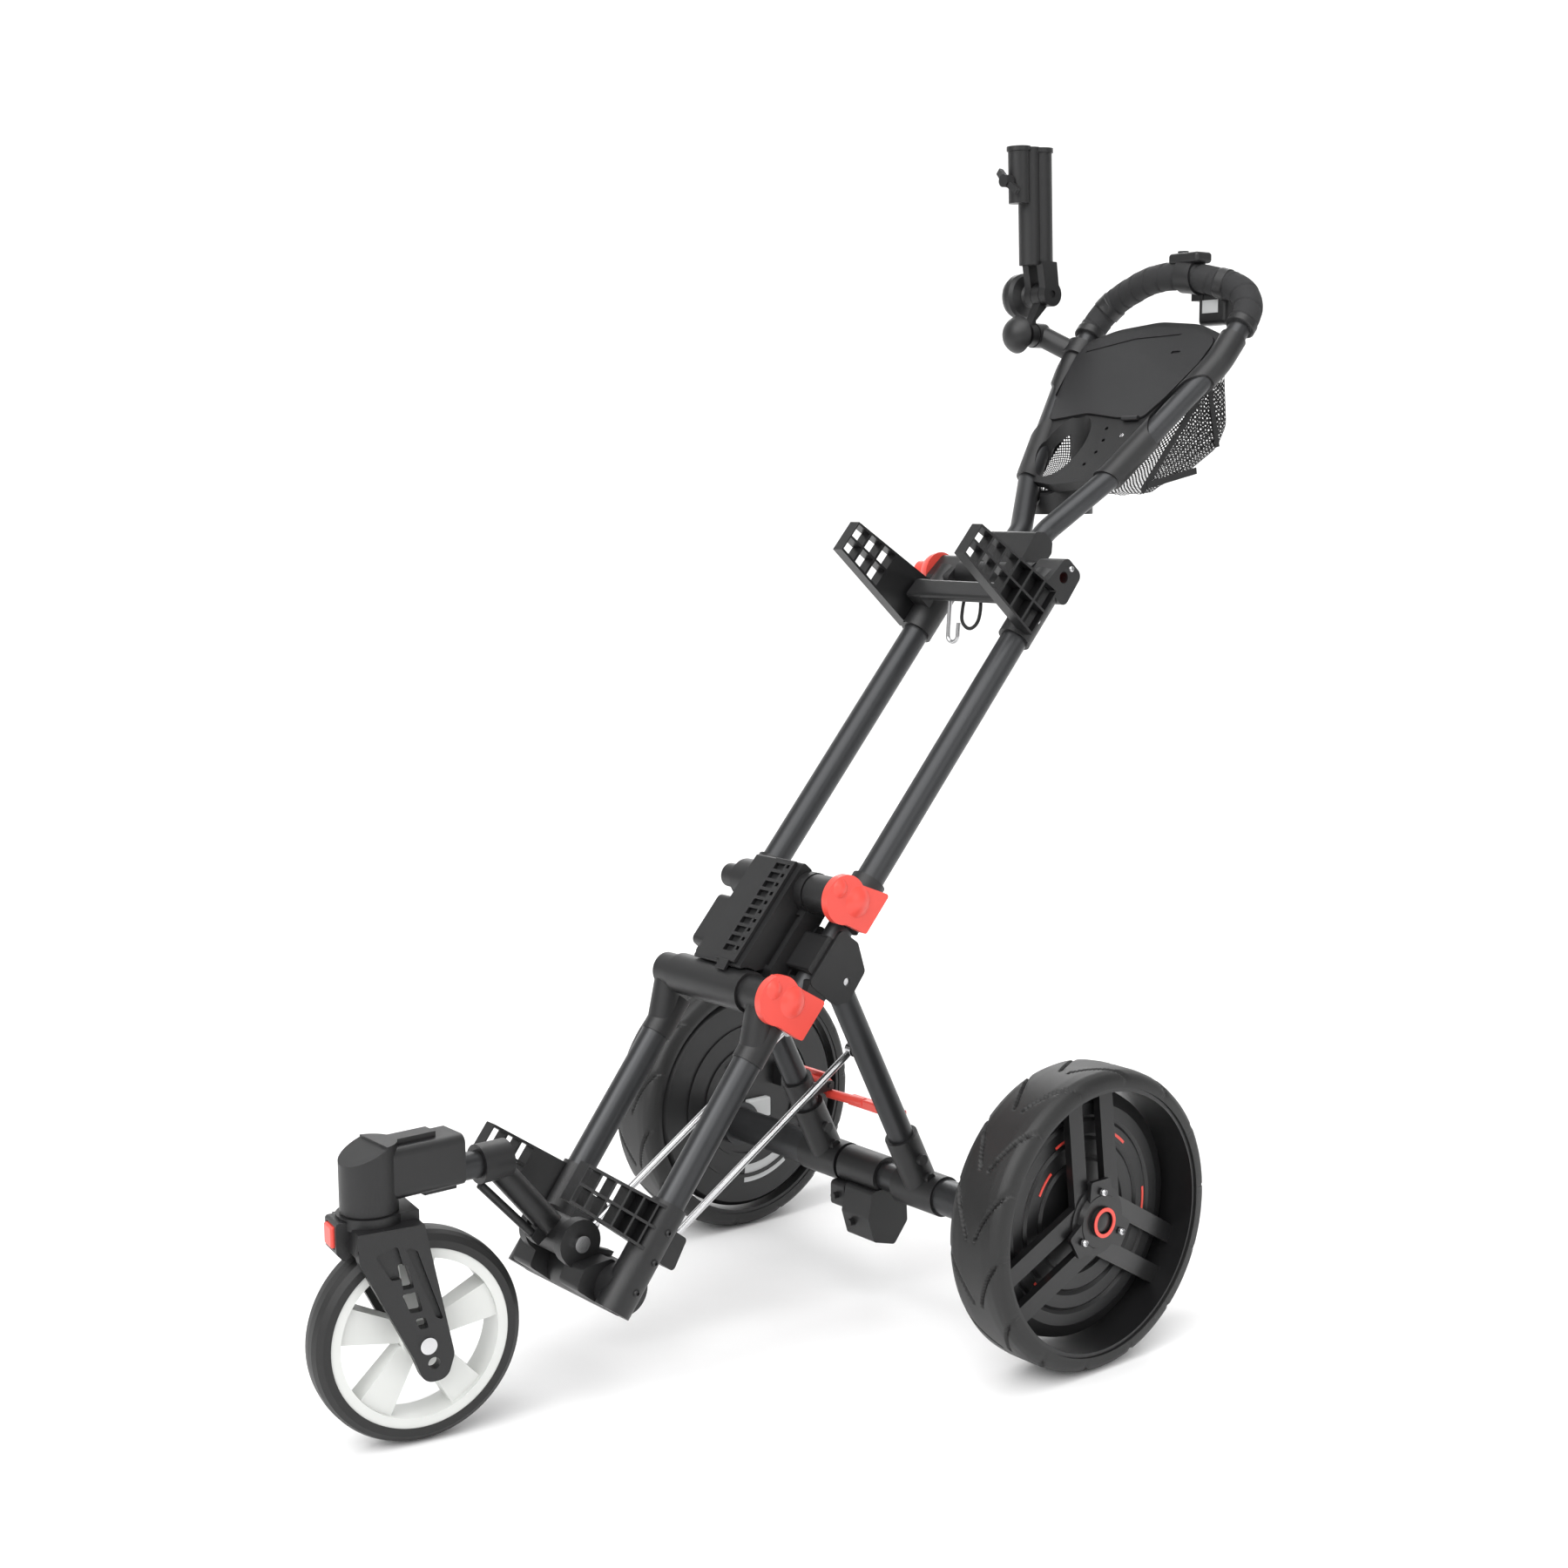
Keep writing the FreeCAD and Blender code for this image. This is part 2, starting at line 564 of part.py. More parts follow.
def upper_bracket():
    """Sleeves at the tubes' heads, joined by a saddle for the bag and drilled for the handle's axis."""
    sleeves = []
    for side in SIDES:
        x = side * TUBE_X
        sleeves.append(bar(at(x, top(12)), at(x, top(92)), SLEEVE_R))
        low, high = sorted((side * (TUBE_X - SLEEVE_R), side * (TUBE_X + SLEEVE_R)))
        sleeves.append(slab([top(70, 17), top(70, -21), top(112, -19), top(112, 11)], low, high, 8))
    saddle = slab([top(36, 34), top(36, 24), top(60, 22), top(60, 32)], -TUBE_X, TUBE_X, 4)
    posts = []
    for side in SIDES:
        low, high = sorted((side * 60, side * (TUBE_X + 6)))
        posts.append(slab([top(36, 34), top(36, 6), top(60, 6), top(60, 32)], low, high, 3))
    solid = fuse(sleeves + [saddle] + posts)
    tube = upper_tube_bar(TUBE_R)
    bolt_hole = pin(-130, 130, HANDLE_PIVOT, 6)
    return cut(solid, [tube, mirror(tube), bolt_hole, bag_hook(), cord_bar(CORD_R + 0.3)])


def bag_arm(point, slope, x, root, tip, reach):
    """A ribbed bag arm that stands forward of a sleeve.

    root and tip are (low, high) limits along the tube, reach is how far the tip stands forward."""
    width = 14.0
    wall = 2.6
    near = 4.0
    columns = 6

    def limits(share):
        low = root[0] + (tip[0] - root[0]) * share
        high = root[1] + (tip[1] - root[1]) * share
        return low, high

    def corner(along, share):
        return step(point, slope, along, near + (reach - near) * share)

    solid = slab([corner(root[0], 0), corner(root[1], 0), corner(tip[1], 1), corner(tip[0], 1)],
                 x, x + width)
    cells = []
    for column in range(columns):
        start = (column + 0.07) / columns
        end = (column + 0.93) / columns
        depth = x - 1 if column >= columns - 3 else x + wall
        for row in (0, 1):
            ends = []
            for share in (start, end):
                low, high = limits(share)
                middle = 0.5 * (low + high)
                if row == 0:
                    ends.append((low + wall, middle - wall / 2))
                else:
                    ends.append((middle + wall / 2, high - wall))
            corners = [corner(ends[0][0], start), corner(ends[0][1], start),
                       corner(ends[1][1], end), corner(ends[1][0], end)]
            cells.append(slab(corners, depth, x + width + 1))
    return cut(solid, cells)


def upper_arms():
    arm = bag_arm(UPPER_TOP, UPPER_ANGLE, TUBE_X + 11, (16.0, 74.0), (17.0, 54.0), 130.0)
    clear = [bar(at(TUBE_X, top(0)), at(TUBE_X, top(120)), SLEEVE_R),
             pin(TUBE_X, 130, HANDLE_PIVOT, KNOB_R + GAP),
             slab([top(68, 17), top(68, -21), top(114, -19), top(114, 11)], TUBE_X - SLEEVE_R,
                  TUBE_X + SLEEVE_R, 8)]
    return both(cut(arm, clear))


# ---------------------------------------------------------------- lower frame
def lower_hinge_ends():
    """Cross barrel on the lower pin, with the sleeves that hold the lower tubes."""
    barrel = pin(-BARREL_X, BARREL_X, LOWER_PIVOT, BARREL_R)
    parts = [barrel]
    for side, lug_out in ((1, COVER_IN - 3.5), (-1, LUG_END)):
        low, high = sorted((side * (BARREL_X - 4), side * lug_out))
        parts.append(pin(low, high, LOWER_PIVOT, 17))
        x = side * TUBE_X
        parts.append(bar(at(x, lower(-14)), at(x, lower(28)), SLEEVE_R - 2))
        parts.append(bar(at(x, lower(-4, -1)), at(x, lower(40, 19)), SLEEVE_R - 3))
    solid = fuse(parts)
    tools = [pin(-130, 130, LOWER_PIVOT, HINGE_PIN_R + RUNNING)]
    for side in SIDES:
        x = side * TUBE_X
        tools.append(bar(at(x, lower(-30)), at(x, lower(24)), TUBE_R))
        low, high = sorted((side * (BARREL_X + 0.5), side * 130))
        tools.append(slab([upper(-138, 22), upper(-138, -30), upper(-166, -30), upper(-166, 7)], low, high, 1))
    return cut(solid, tools)


def lower_tubes():
    return both(pipe(at(TUBE_X, lower(-255)), at(TUBE_X, lower(24)), TUBE_R, TUBE_BORE))


def base_casting():
    """Foot of the frame: two sleeves, the hollow cross tube and the fork that the front arm folds in."""
    cross = lower(-249, -5)
    parts = [pin(-TUBE_X, TUBE_X, cross, 23)]
    for side in SIDES:
        x = side * TUBE_X
        parts.append(bar(at(x, lower(-271)), at(x, lower(-163)), SLEEVE_R))
        low, high = sorted((side * 24, side * 35))
        parts.append(pin(low, high, ARM_PIVOT, 22))
        parts.append(slab([ARM_PIVOT, lower(-222, 0), lower(-262, 0), step(ARM_PIVOT, LOWER_ANGLE, -22)],
                          low, high))
        low, high = sorted((side * 24, side * 54))
        parts.append(slab([lower(-271, -6), lower(-270, 32), lower(-250, 36), lower(-230, 14),
                           lower(-230, -6)], low, high, 5))
        low, high = sorted((side * (ROD_X + 5), side * (TUBE_X - 2)))
        parts.append(slab([lower(-180, 0), lower(-180, -40), lower(-212, -44), lower(-212, 0)],
                          low, high, 4))
    solid = fuse(parts)
    tools = [pin(-60, 60, ARM_PIVOT, 5.0), pin(-24, 24, ARM_PIVOT, 21), pin(-24, 24, lower(-214, 22), 21)]
    for side in SIDES:
        x = side * TUBE_X
        tools.append(bar(at(x, lower(-255)), at(x, lower(-100)), TUBE_R))
        low, high = sorted((side * 36, side * (TUBE_X - SLEEVE_R + 3)))
        tools.append(pin(low, high, cross, 19))
    return cut(solid, tools)


def lower_arms():
    arm = bag_arm(LOWER_START, LOWER_ANGLE, TUBE_X - 1, (-211.0, -166.0), (-210.0, -173.0), 113.0)
    return both(cut(arm, [bar(at(TUBE_X, lower(-290)), at(TUBE_X, lower(-120)), SLEEVE_R)]))


# ---------------------------------------------------------------- front arm and steering head
HEAD_LOW = 214.0
HEAD_R = 25.5
LINK_R = 12.5
STEM_R = 9.0


def front_arm():
    """Round arm that folds on the base and clamps the link tube, with a thin brace along its front."""
    length = math.dist(ARM_TOP, ARM_PIVOT)
    slope = math.degrees(math.atan2(ARM_TOP[1] - ARM_PIVOT[1], ARM_TOP[0] - ARM_PIVOT[0]))
    y, z = ARM_TOP
    hub = pin(-23.4, 23.4, ARM_PIVOT, 18)
    main = bar(at(0, ARM_PIVOT), at(0, step(ARM_PIVOT, slope, length)), 12)
    collar = bar(V(0, y - 16, z + 1), V(0, y + 14, z + 1), 18)
    brace = bar(at(0, step(ARM_PIVOT, slope, 20, 18)), at(0, step(ARM_PIVOT, slope, length - 6, 22)), 4)
    lugs = slab([step(ARM_PIVOT, slope, 12, 0), step(ARM_PIVOT, slope, 14, 23),
                 step(ARM_PIVOT, slope, 26, 23), step(ARM_PIVOT, slope, 28, 0)], -5, 5, 2)
    solid = fuse([hub, main, collar, brace, lugs])
    return cut(solid, [pin(-60, 60, ARM_PIVOT, 5 + RUNNING), link_bar(LINK_R)])


def arm_bolt():
    """Bolt through the base's ears that the front arm folds on."""
    shank = pin(-36, 36, ARM_PIVOT, 5.0)
    return fuse([shank, pin(35, 39, ARM_PIVOT, 8), pin(-39, -35, ARM_PIVOT, 8)])


def link_bar(radius):
    y, z = ARM_TOP
    return bar(V(0, y + 12, z + 1), V(0, SWIVEL_Y + HEAD_R + 4, z + 2), radius)


def front_link_tube():
    return link_bar(LINK_R).cut(link_bar(LINK_R - 1.8))


def front_head():
    """Steering head: the swivel's bearing housing with its slanted cap, and the link tube's socket."""
    drum = Part.makeCylinder(HEAD_R, 60, V(0, SWIVEL_Y, HEAD_LOW))
    arm = box((-22, 22), (SWIVEL_Y, SWIVEL_Y + 84), (HEAD_LOW + 9, HEAD_LOW + 55))
    arm = arm.makeFillet(8, [e for e in arm.Edges if e.Length > 80])
    lug = box((-12, 12), (SWIVEL_Y + 48, SWIVEL_Y + 80), (HEAD_LOW + 5, HEAD_LOW + 12))
    ridge = box((-9, 9), (SWIVEL_Y + 6, SWIVEL_Y + 62), (HEAD_LOW + 50, HEAD_LOW + 60))
    slant = slab([(SWIVEL_Y - 60, HEAD_LOW + 29), (SWIVEL_Y + 6, HEAD_LOW + 58),
                  (SWIVEL_Y + 6, HEAD_LOW + 90), (SWIVEL_Y - 60, HEAD_LOW + 90)], -60, 60)
    solid = fuse([drum, arm, lug, ridge])
    bore = Part.makeCylinder(STEM_R + RUNNING, 46, V(0, SWIVEL_Y, HEAD_LOW))
    return cut(solid, [slant, bore, link_bar(LINK_R)])


# ---------------------------------------------------------------- caster (made straight, then turned)
FRONT_HUB = (SWIVEL_Y + TRAIL, FRONT_R)
FORK_X = 26.0           # fork blade's inner face
FORK_T = 10.0
FRONT_AXLE_R = 4.0


def swivelled(shape):
    turned_shape = shape.copy()
    turned_shape.rotate(V(0, SWIVEL_Y, 0), V(0, 0, 1), SWIVEL_ANGLE)
    return turned_shape


def caster_fork():
    """Crown, button nose and two ribbed, windowed blades."""
    reach = FORK_X + FORK_T
    crown = slab([(SWIVEL_Y - 22, 205), (SWIVEL_Y + 37, 205), (SWIVEL_Y + 37, 196), (SWIVEL_Y - 20, 196),
                  (SWIVEL_Y - 25, 186)], -reach, reach)
    ring = Part.makeCylinder(29, HEAD_LOW - GAP - 203, V(0, SWIVEL_Y, 203))
    lug = box((-20, 20), (SWIVEL_Y + 10, SWIVEL_Y + 38), (203, HEAD_LOW - GAP))
    nose = slab([(SWIVEL_Y - 27, 211), (SWIVEL_Y - 15, 204), (SWIVEL_Y - 22, 182), (SWIVEL_Y - 28, 176),
                 (SWIVEL_Y - 35, 184), (SWIVEL_Y - 35, 211)], -15, 15, 3)
    blades = []
    y, z = FRONT_HUB
    for side in SIDES:
        low, high = sorted((side * FORK_X, side * reach))
        blade = slab([(SWIVEL_Y - 22, 205), (SWIVEL_Y + 37, 205), (y + 24, z - 12), (y + 17, z - 33),
                      (y - 4, z - 34), (y - 13, z - 10), (SWIVEL_Y - 22, 180)],
                     low, high, [2, 3, 14, 12, 12, 14, 20])
        outer = side * reach
        face_low, face_high = sorted((outer - side * 4, outer + side))
        upper_pocket = slab([(SWIVEL_Y - 8, 184), (SWIVEL_Y + 12, 190), (SWIVEL_Y + 20, 160),
                             (SWIVEL_Y + 6, 160)], face_low, face_high, 3)
        rear_pocket = slab([(SWIVEL_Y + 18, 190), (SWIVEL_Y + 30, 182), (y + 15, z + 20), (y + 8, z + 24)],
                           face_low, face_high, 3)
        windows = [pin(low - 1, high + 1, (y + 5, z - 17), 5.5)]
        for corners in ([(y - 24, 172), (y - 17, 172), (y - 11, 150), (y - 21, 150)],
                        [(y - 22, 146), (y - 8, 146), (y - 4, 128), (y - 15, 128)],
                        [(y - 11, 122), (y - 2, 122), (y + 1, 112), (y - 7, 112)]):
            windows.append(slab(corners, low - 1, high + 1, 1.5))
        blades.append(cut(blade, [upper_pocket, rear_pocket] + windows))
    solid = fuse([crown, ring, lug, nose] + blades)
    stem_hole = Part.makeCylinder(STEM_R, 60, V(0, SWIVEL_Y, 190))
    pocket = box((-11, 11), (SWIVEL_Y - 60, SWIVEL_Y - 27), (187, 208))
    return swivelled(cut(solid, [stem_hole, pin(-60, 60, FRONT_HUB, FRONT_AXLE_R), pocket]))


def caster_stem():
    """Swivel spindle pressed into the crown and turning in the head."""
    spindle = Part.makeCylinder(STEM_R, 62, V(0, SWIVEL_Y, 196))
    return swivelled(spindle)


def lock_button():
    """Red push button that frees the caster; it slides into the crown's nose."""
    cap = round_box((-10, 10), (SWIVEL_Y - 38, SWIVEL_Y - 31), (188, 207), 2)
    return swivelled(cap)


def front_axle():
    """Axle bolt through both blades with its heads."""
    reach = FORK_X + FORK_T
    shank = pin(-reach, reach, FRONT_HUB, FRONT_AXLE_R)
    heads = [pin(reach, reach + 2, FRONT_HUB, 7.5), pin(-reach - 2, -reach, FRONT_HUB, 7.5)]
    return swivelled(fuse([shank] + heads))


def front_tyre():
    half = FRONT_W / 2
    inner = FRONT_SEAT
    profile = [(-half, inner), (-half, FRONT_R - 8), (-half + 4, FRONT_R - 3), (-half + 10, FRONT_R - 0.6),
               (0, FRONT_R), (half - 10, FRONT_R - 0.6), (half - 4, FRONT_R - 3), (half, FRONT_R - 8),
               (half, inner)]
    return swivelled(turned(profile, FRONT_HUB))


def front_rim():
    """White rim: barrel, five windowed spokes and hub on its two bearings."""
    half = FRONT_W / 2
    outer = FRONT_SEAT
    barrel = turned([(-half + 1, outer), (-half + 1, outer - 9), (half - 1, outer - 9), (half - 1, outer)],
                    FRONT_HUB)
    hub = turned([(-half, FRONT_AXLE_R + RUNNING), (-half, 17), (half, 17), (half, FRONT_AXLE_R + RUNNING)],
                 FRONT_HUB)
    parts = [barrel, hub]
    for k in range(5):
        spoke = Part.makeLoft([Part.makePolygon([V(-9, 15, -9), V(9, 15, -9), V(9, 15, 9), V(-9, 15, 9),
                                                 V(-9, 15, -9)]),
                               Part.makePolygon([V(-13, outer - 7, -17), V(13, outer - 7, -17),
                                                 V(13, outer - 7, 17), V(-13, outer - 7, 17),
                                                 V(-13, outer - 7, -17)])], True, True)
        spoke.rotate(V(0, 0, 0), X_AXIS, 72 * k + 18)
        spoke.translate(at(0, FRONT_HUB))
        parts.append(spoke)
    return swivelled(fuse(parts))


# ---------------------------------------------------------------- handle
GRIP_R = 15.8
HANDLE_R = 12.0
BLOCK_X = TUBE_X - SLEEVE_R - GAP
HANDLE_FOOT = (16, 174, 756)
HANDLE_PATH = [(19, 202, 782), (60, 256, 838), (108, 366, 956), (111, 430, 1031)]
HANDLE_CROWN = (0, 408, 1063)
PATH_BENDS = [30, 60, 90, 42, 150, 42, 90, 60, 30]
BEAD_R = 14.6


def handle_bar(radius):
    """The handle's bent bar, from one foot round the loop to the other."""
    left = [V(*p) for p in [HANDLE_FOOT] + HANDLE_PATH]
    right = [V(-p.x, p.y, p.z) for p in reversed(left)]
    return swept(left + [V(*HANDLE_CROWN)] + right, radius, PATH_BENDS)


def handle_tube():
    return handle_bar(HANDLE_R).cut(handle_bar(HANDLE_R - 1.6))


def handle_block():
    """Barrel that tilts between the bracket's sleeves, with sockets for the handle tube's feet."""
    barrel = pin(-BLOCK_X, BLOCK_X, HANDLE_PIVOT, 15)
    corners = []
    for along, across in ((0, 13), (46, 16), (54, 6), (54, -10), (44, -17), (0, -14)):
        corners.append(step(HANDLE_PIVOT, UPPER_ANGLE, along, across))
    neck = slab(corners, -33, 33, 5)
    solid = fuse([barrel, neck])
    return cut(solid, [pin(-130, 130, HANDLE_PIVOT, 6), handle_bar(HANDLE_R)])


def handle_grips():
    """Foam wrap over the loop, from halfway up its sides."""
    side = V(*HANDLE_PATH[2])
    corner = V(*HANDLE_PATH[3])
    start = side + (corner - side) * 0.5
    along = V(0, corner.y - side.y, corner.z - side.z)
    loop_side = Part.makeCylinder(300, 300, V(0, start.y, start.z), along)
    return handle_bar(GRIP_R).cut(handle_bar(HANDLE_R)).common(loop_side)


def handle_knob():
    """Red dome knob on the tilt axis, outside the right-hand sleeve, with the clamp bolt."""
    low = -TUBE_X - SLEEVE_R - GAP
    outside = box((low - 30, low), (0, 300), (600, 900))
    cap = Part.makeSphere(KNOB_R, at(low, HANDLE_PIVOT)).common(outside)
    star = pin(low - 30, low - 18, HANDLE_PIVOT, 13)
    bolt = pin(low - 2, BLOCK_X + 24, HANDLE_PIVOT, 6 - RUNNING)
    return fuse([cap, star, bolt])


# ---------------------------------------------------------------- console, in the tray's own flat axes
TRAY = [(-64, 0), (-12, -9), (64, 0), (74, 38), (86, 92), (103, 146), (107, 174), (106, 200), (60, 221),
        (0, 229), (-60, 221), (-106, 200), (-107, 174), (-103, 146), (-86, 92), (-74, 38)]
TRAY_BENDS = [8, 40, 8, 60, 60, 60, 40, 14, 80, 80, 80, 14, 40, 60, 60, 60]
LID = [(-76, 84), (-22, 93), (24, 85), (62, 83), (77, 112), (94, 160), (98, 194), (58, 213), (0, 220),
       (-58, 213), (-98, 194), (-94, 160), (-84, 112)]
LID_BENDS = [10, 40, 30, 10, 60, 40, 14, 80, 80, 80, 14, 40, 60]
NOTCH = [(100, 50), (84, 62), (75, 82), (77, 104), (92, 130), (112, 144), (150, 144), (150, 50)]
TUB = [(-58, 104), (58, 104), (76, 170), (76, 192), (-76, 192), (-76, 170)]
LID_HINGE = (82.0, 3.0)     # the lid's turning axis: along the tray, and above its face
CUP_AT = (-31.0, 48.0)
CUP_R = 30.0
TRAY_T = 12.0


def scaled(points, gap):
    """An outline moved outwards from its middle by about the gap."""
    middle_x = sum(p[0] for p in points) / len(points)
    middle_y = sum(p[1] for p in points) / len(points)
    moved = []
    for x, y in points:
        reach = math.hypot(x - middle_x, y - middle_y)
        moved.append((x + (x - middle_x) * gap / reach, y + (y - middle_y) * gap / reach))
    return moved


def console_tray():
    """Moulded tray over the handle tubes, with a tub under the lid, a cup hole and ball-marker holes."""
    plate = sheet(TRAY, TRAY_T, TRAY_BENDS, -TRAY_T)
    tub = sheet(scaled(TUB, 4), 22, 8, -30)
    recess = sheet(scaled(LID, 0.8), 10, LID_BENDS, -3.2)
    hollow = sheet(TUB, 24, 6, -27)
    tees = []
    for x, y in ((18, 71), (24, 54), (24, 37), (18, 20)):
        tees.append(Part.makeCylinder(2.2, 40, V(x, y, -30)))
    marks = []
    for x, y in ((46, 60), (-70, 61)):
        marks.append(Part.makeCylinder(3, 3, V(x, y, -1.5)))
    notches = []
    for side in SIDES:
        notches.append(sheet([(side * a, b) for a, b in NOTCH], 80, 8, -50))
    beads = sheet([(-200, 3), (200, 3), (200, 204), (-200, 204)], 80, 0, -50)
    beads = place(beads, TRAY_START, TRAY_ANGLE).common(handle_bar(BEAD_R))
    solid = fuse([place(plate, TRAY_START, TRAY_ANGLE), place(tub, TRAY_START, TRAY_ANGLE), beads])
    tools = [place(tool, TRAY_START, TRAY_ANGLE) for tool in [recess, hollow] + tees + marks + notches]
    y, z = step(TRAY_START, TRAY_ANGLE, CUP_AT[1])
    cup = Part.makeCylinder(CUP_R, 160, V(CUP_AT[0], y, z - 80))
    return cut(solid, tools + [cup, handle_bar(HANDLE_R), umbrella_saddle(0.2)])


def console_lid():
    """Flat lid with a finger notch; it turns up on a knuckle at its lower edge."""
    flat = sheet(LID, 5.2, LID_BENDS, -2.8)
    groove = sheet([(-84, 186), (-20, 201), (44, 203), (44, 205.5), (-20, 203.5), (-84, 188.5)],
                   5, 0.5, 1.4)
    notch = sheet([(46, 176), (58, 176), (58, 180), (46, 180)], 5, 1, 0.6)
    lid = place(cut(flat, [groove, notch]), TRAY_START, TRAY_ANGLE)
    lid = lid.fuse(pin(36, 58, tray_point(*LID_HINGE), 2.6))
    return cut(lid, [handle_bar(HANDLE_R + GAP), umbrella_saddle(GAP)])


def cup_holder():
    """Cradle under the cup hole: a floor dish and three arms up to the tray."""
    y, z = step(TRAY_START, TRAY_ANGLE, CUP_AT[1])
    low = z - 74
    axis = V(CUP_AT[0], y, low)
    wall = Part.makeCylinder(CUP_R + 3, 110, axis).cut(Part.makeCylinder(CUP_R, 120, axis))
    floor = Part.makeCylinder(CUP_R + 3, 3, axis).cut(Part.makeCylinder(12, 9, axis - V(0, 0, 3)))
    windows = []
    for turn in (30, 150, 270):
        window = box((8, 60), (-17, 17), (26, 120))
        window.rotate(V(0, 0, 0), V(0, 0, 1), turn)
        window.translate(axis)
        windows.append(window)
    above = sheet([(-200, -100), (200, -100), (200, 300), (-200, 300)], 200, 0, -TRAY_T)
    tub_room = sheet(scaled(TUB, 4.4), 60, 8, -31)
    tools = windows + [place(above, TRAY_START, TRAY_ANGLE), place(tub_room, TRAY_START, TRAY_ANGLE),
                       handle_bar(BEAD_R)]
    return cut(fuse([wall, floor]), tools)


BASKET = [(8, -34), (26, -52), (84, -84), (130, -100), (156, -95), (190, -58), (190, -34)]
BASKET_HOLLOW = [(13, -37), (28, -49), (85, -80.6), (130, -96.5), (154, -92), (200, -85), (200, -37)]


def tray_point(along, across):
    return step(TRAY_START, TRAY_ANGLE, along, across)


def basket():
    """Net bag hung under the tray, a thin shell that is open at the back."""
    outer = slab([tray_point(*p) for p in BASKET], -84, 84, 14)
    inner = slab([tray_point(*p) for p in BASKET_HOLLOW], -81, 81, 12)
    foot = V(CUP_AT[0], tray_point(CUP_AT[1], 0)[0], TRAY_START[1] - 60)
    cup = Part.makeCylinder(CUP_R + 4, 130, foot)
    return cut(outer, [inner, cup])


# ---------------------------------------------------------------- handle's fittings
def controller():
    """Band round the grip with the speed control on top."""
    band = handle_bar(GRIP_R + 2.6).common(box((17, 37), (300, 500), (1000, 1100)))
    top_box = round_box((4, 46), (402, 428), (1067, 1079), 4)
    hole = Part.makeCylinder(6 + GAP, 20, V(16, 414, 1073))
    return cut(fuse([band, top_box]), [handle_bar(GRIP_R + 0.05), hole])


def control_button():
    """Push button on top of the speed control."""
    return Part.makeCylinder(6, 6, V(16, 414, 1075.5))


def handset():
    """Remote handset hung under the band on a short arm."""
    body = round_box((28, 68), (425, 446), (1001, 1038), 5)
    arm = box((20, 36), (424, 438), (1028, 1048))
    return fuse([body, arm]).cut(handle_bar(GRIP_R + 2.8))


def umbrella_saddle(grow):
    """Ring round the handle tube's right-hand side, and its arm; grow makes room in its neighbours."""
    side = V(-HANDLE_PATH[2][0], HANDLE_PATH[2][1], HANDLE_PATH[2][2])
    corner = V(-HANDLE_PATH[3][0], HANDLE_PATH[3][1], HANDLE_PATH[3][2])
    along = corner - side
    y, z = UMBRELLA_SWING
    ring = bar(side + along * (0.17 - grow / along.Length), side + along * (0.36 + grow / along.Length),
               HANDLE_R + 6 + grow)
    arm = bar(side + along * 0.25, V(UMBRELLA_X + 6, y + 12, z - 2), 12 + grow)
    return fuse([ring, arm])


def umbrella_clamp():
    """The saddle with the eye of the side-to-side tilt."""
    y, z = UMBRELLA_SWING
    eye = bar(V(UMBRELLA_X, y, z), V(UMBRELLA_X, y + 16, z), 14)
    hole = bar(V(UMBRELLA_X, y - 5, z), V(UMBRELLA_X, y + 22, z), 4)
    front = box((-200, -120), (y - 30, y), (900, 1100))
    return cut(fuse([umbrella_saddle(0), eye]), [handle_bar(HANDLE_R), hole, front])


def umbrella_knuckle():
    """Middle link: turns side to side on the clamp and carries the fore-and-aft joint."""
    y, z = UMBRELLA_SWING
    eye = bar(V(UMBRELLA_X, y - 11, z), V(UMBRELLA_X, y - GAP, z), 13)
    neck = slab([(y - 11, z + 6), (y - GAP, z + 6), (y - GAP, z + 16), (y + 22, z + 37), (y + 10, z + 43)],
                UMBRELLA_X - 6, UMBRELLA_X + 6, 1)
    knuckle = pin(UMBRELLA_X - 6, UMBRELLA_X + 6, UMBRELLA_TILT, 14)
    hole_a = bar(V(UMBRELLA_X, y - 20, z), V(UMBRELLA_X, y + 5, z), 4 + RUNNING)
    hole_b = pin(UMBRELLA_X - 9, UMBRELLA_X + 9, UMBRELLA_TILT, 4 + RUNNING)
    return cut(fuse([eye, neck, knuckle]), [hole_a, hole_b])


UMBRELLA_TOP = V(UMBRELLA_X, 358, 1205)
UMBRELLA_BASE = V(UMBRELLA_X, 362, 1076)
UMBRELLA_BORE = 12.0


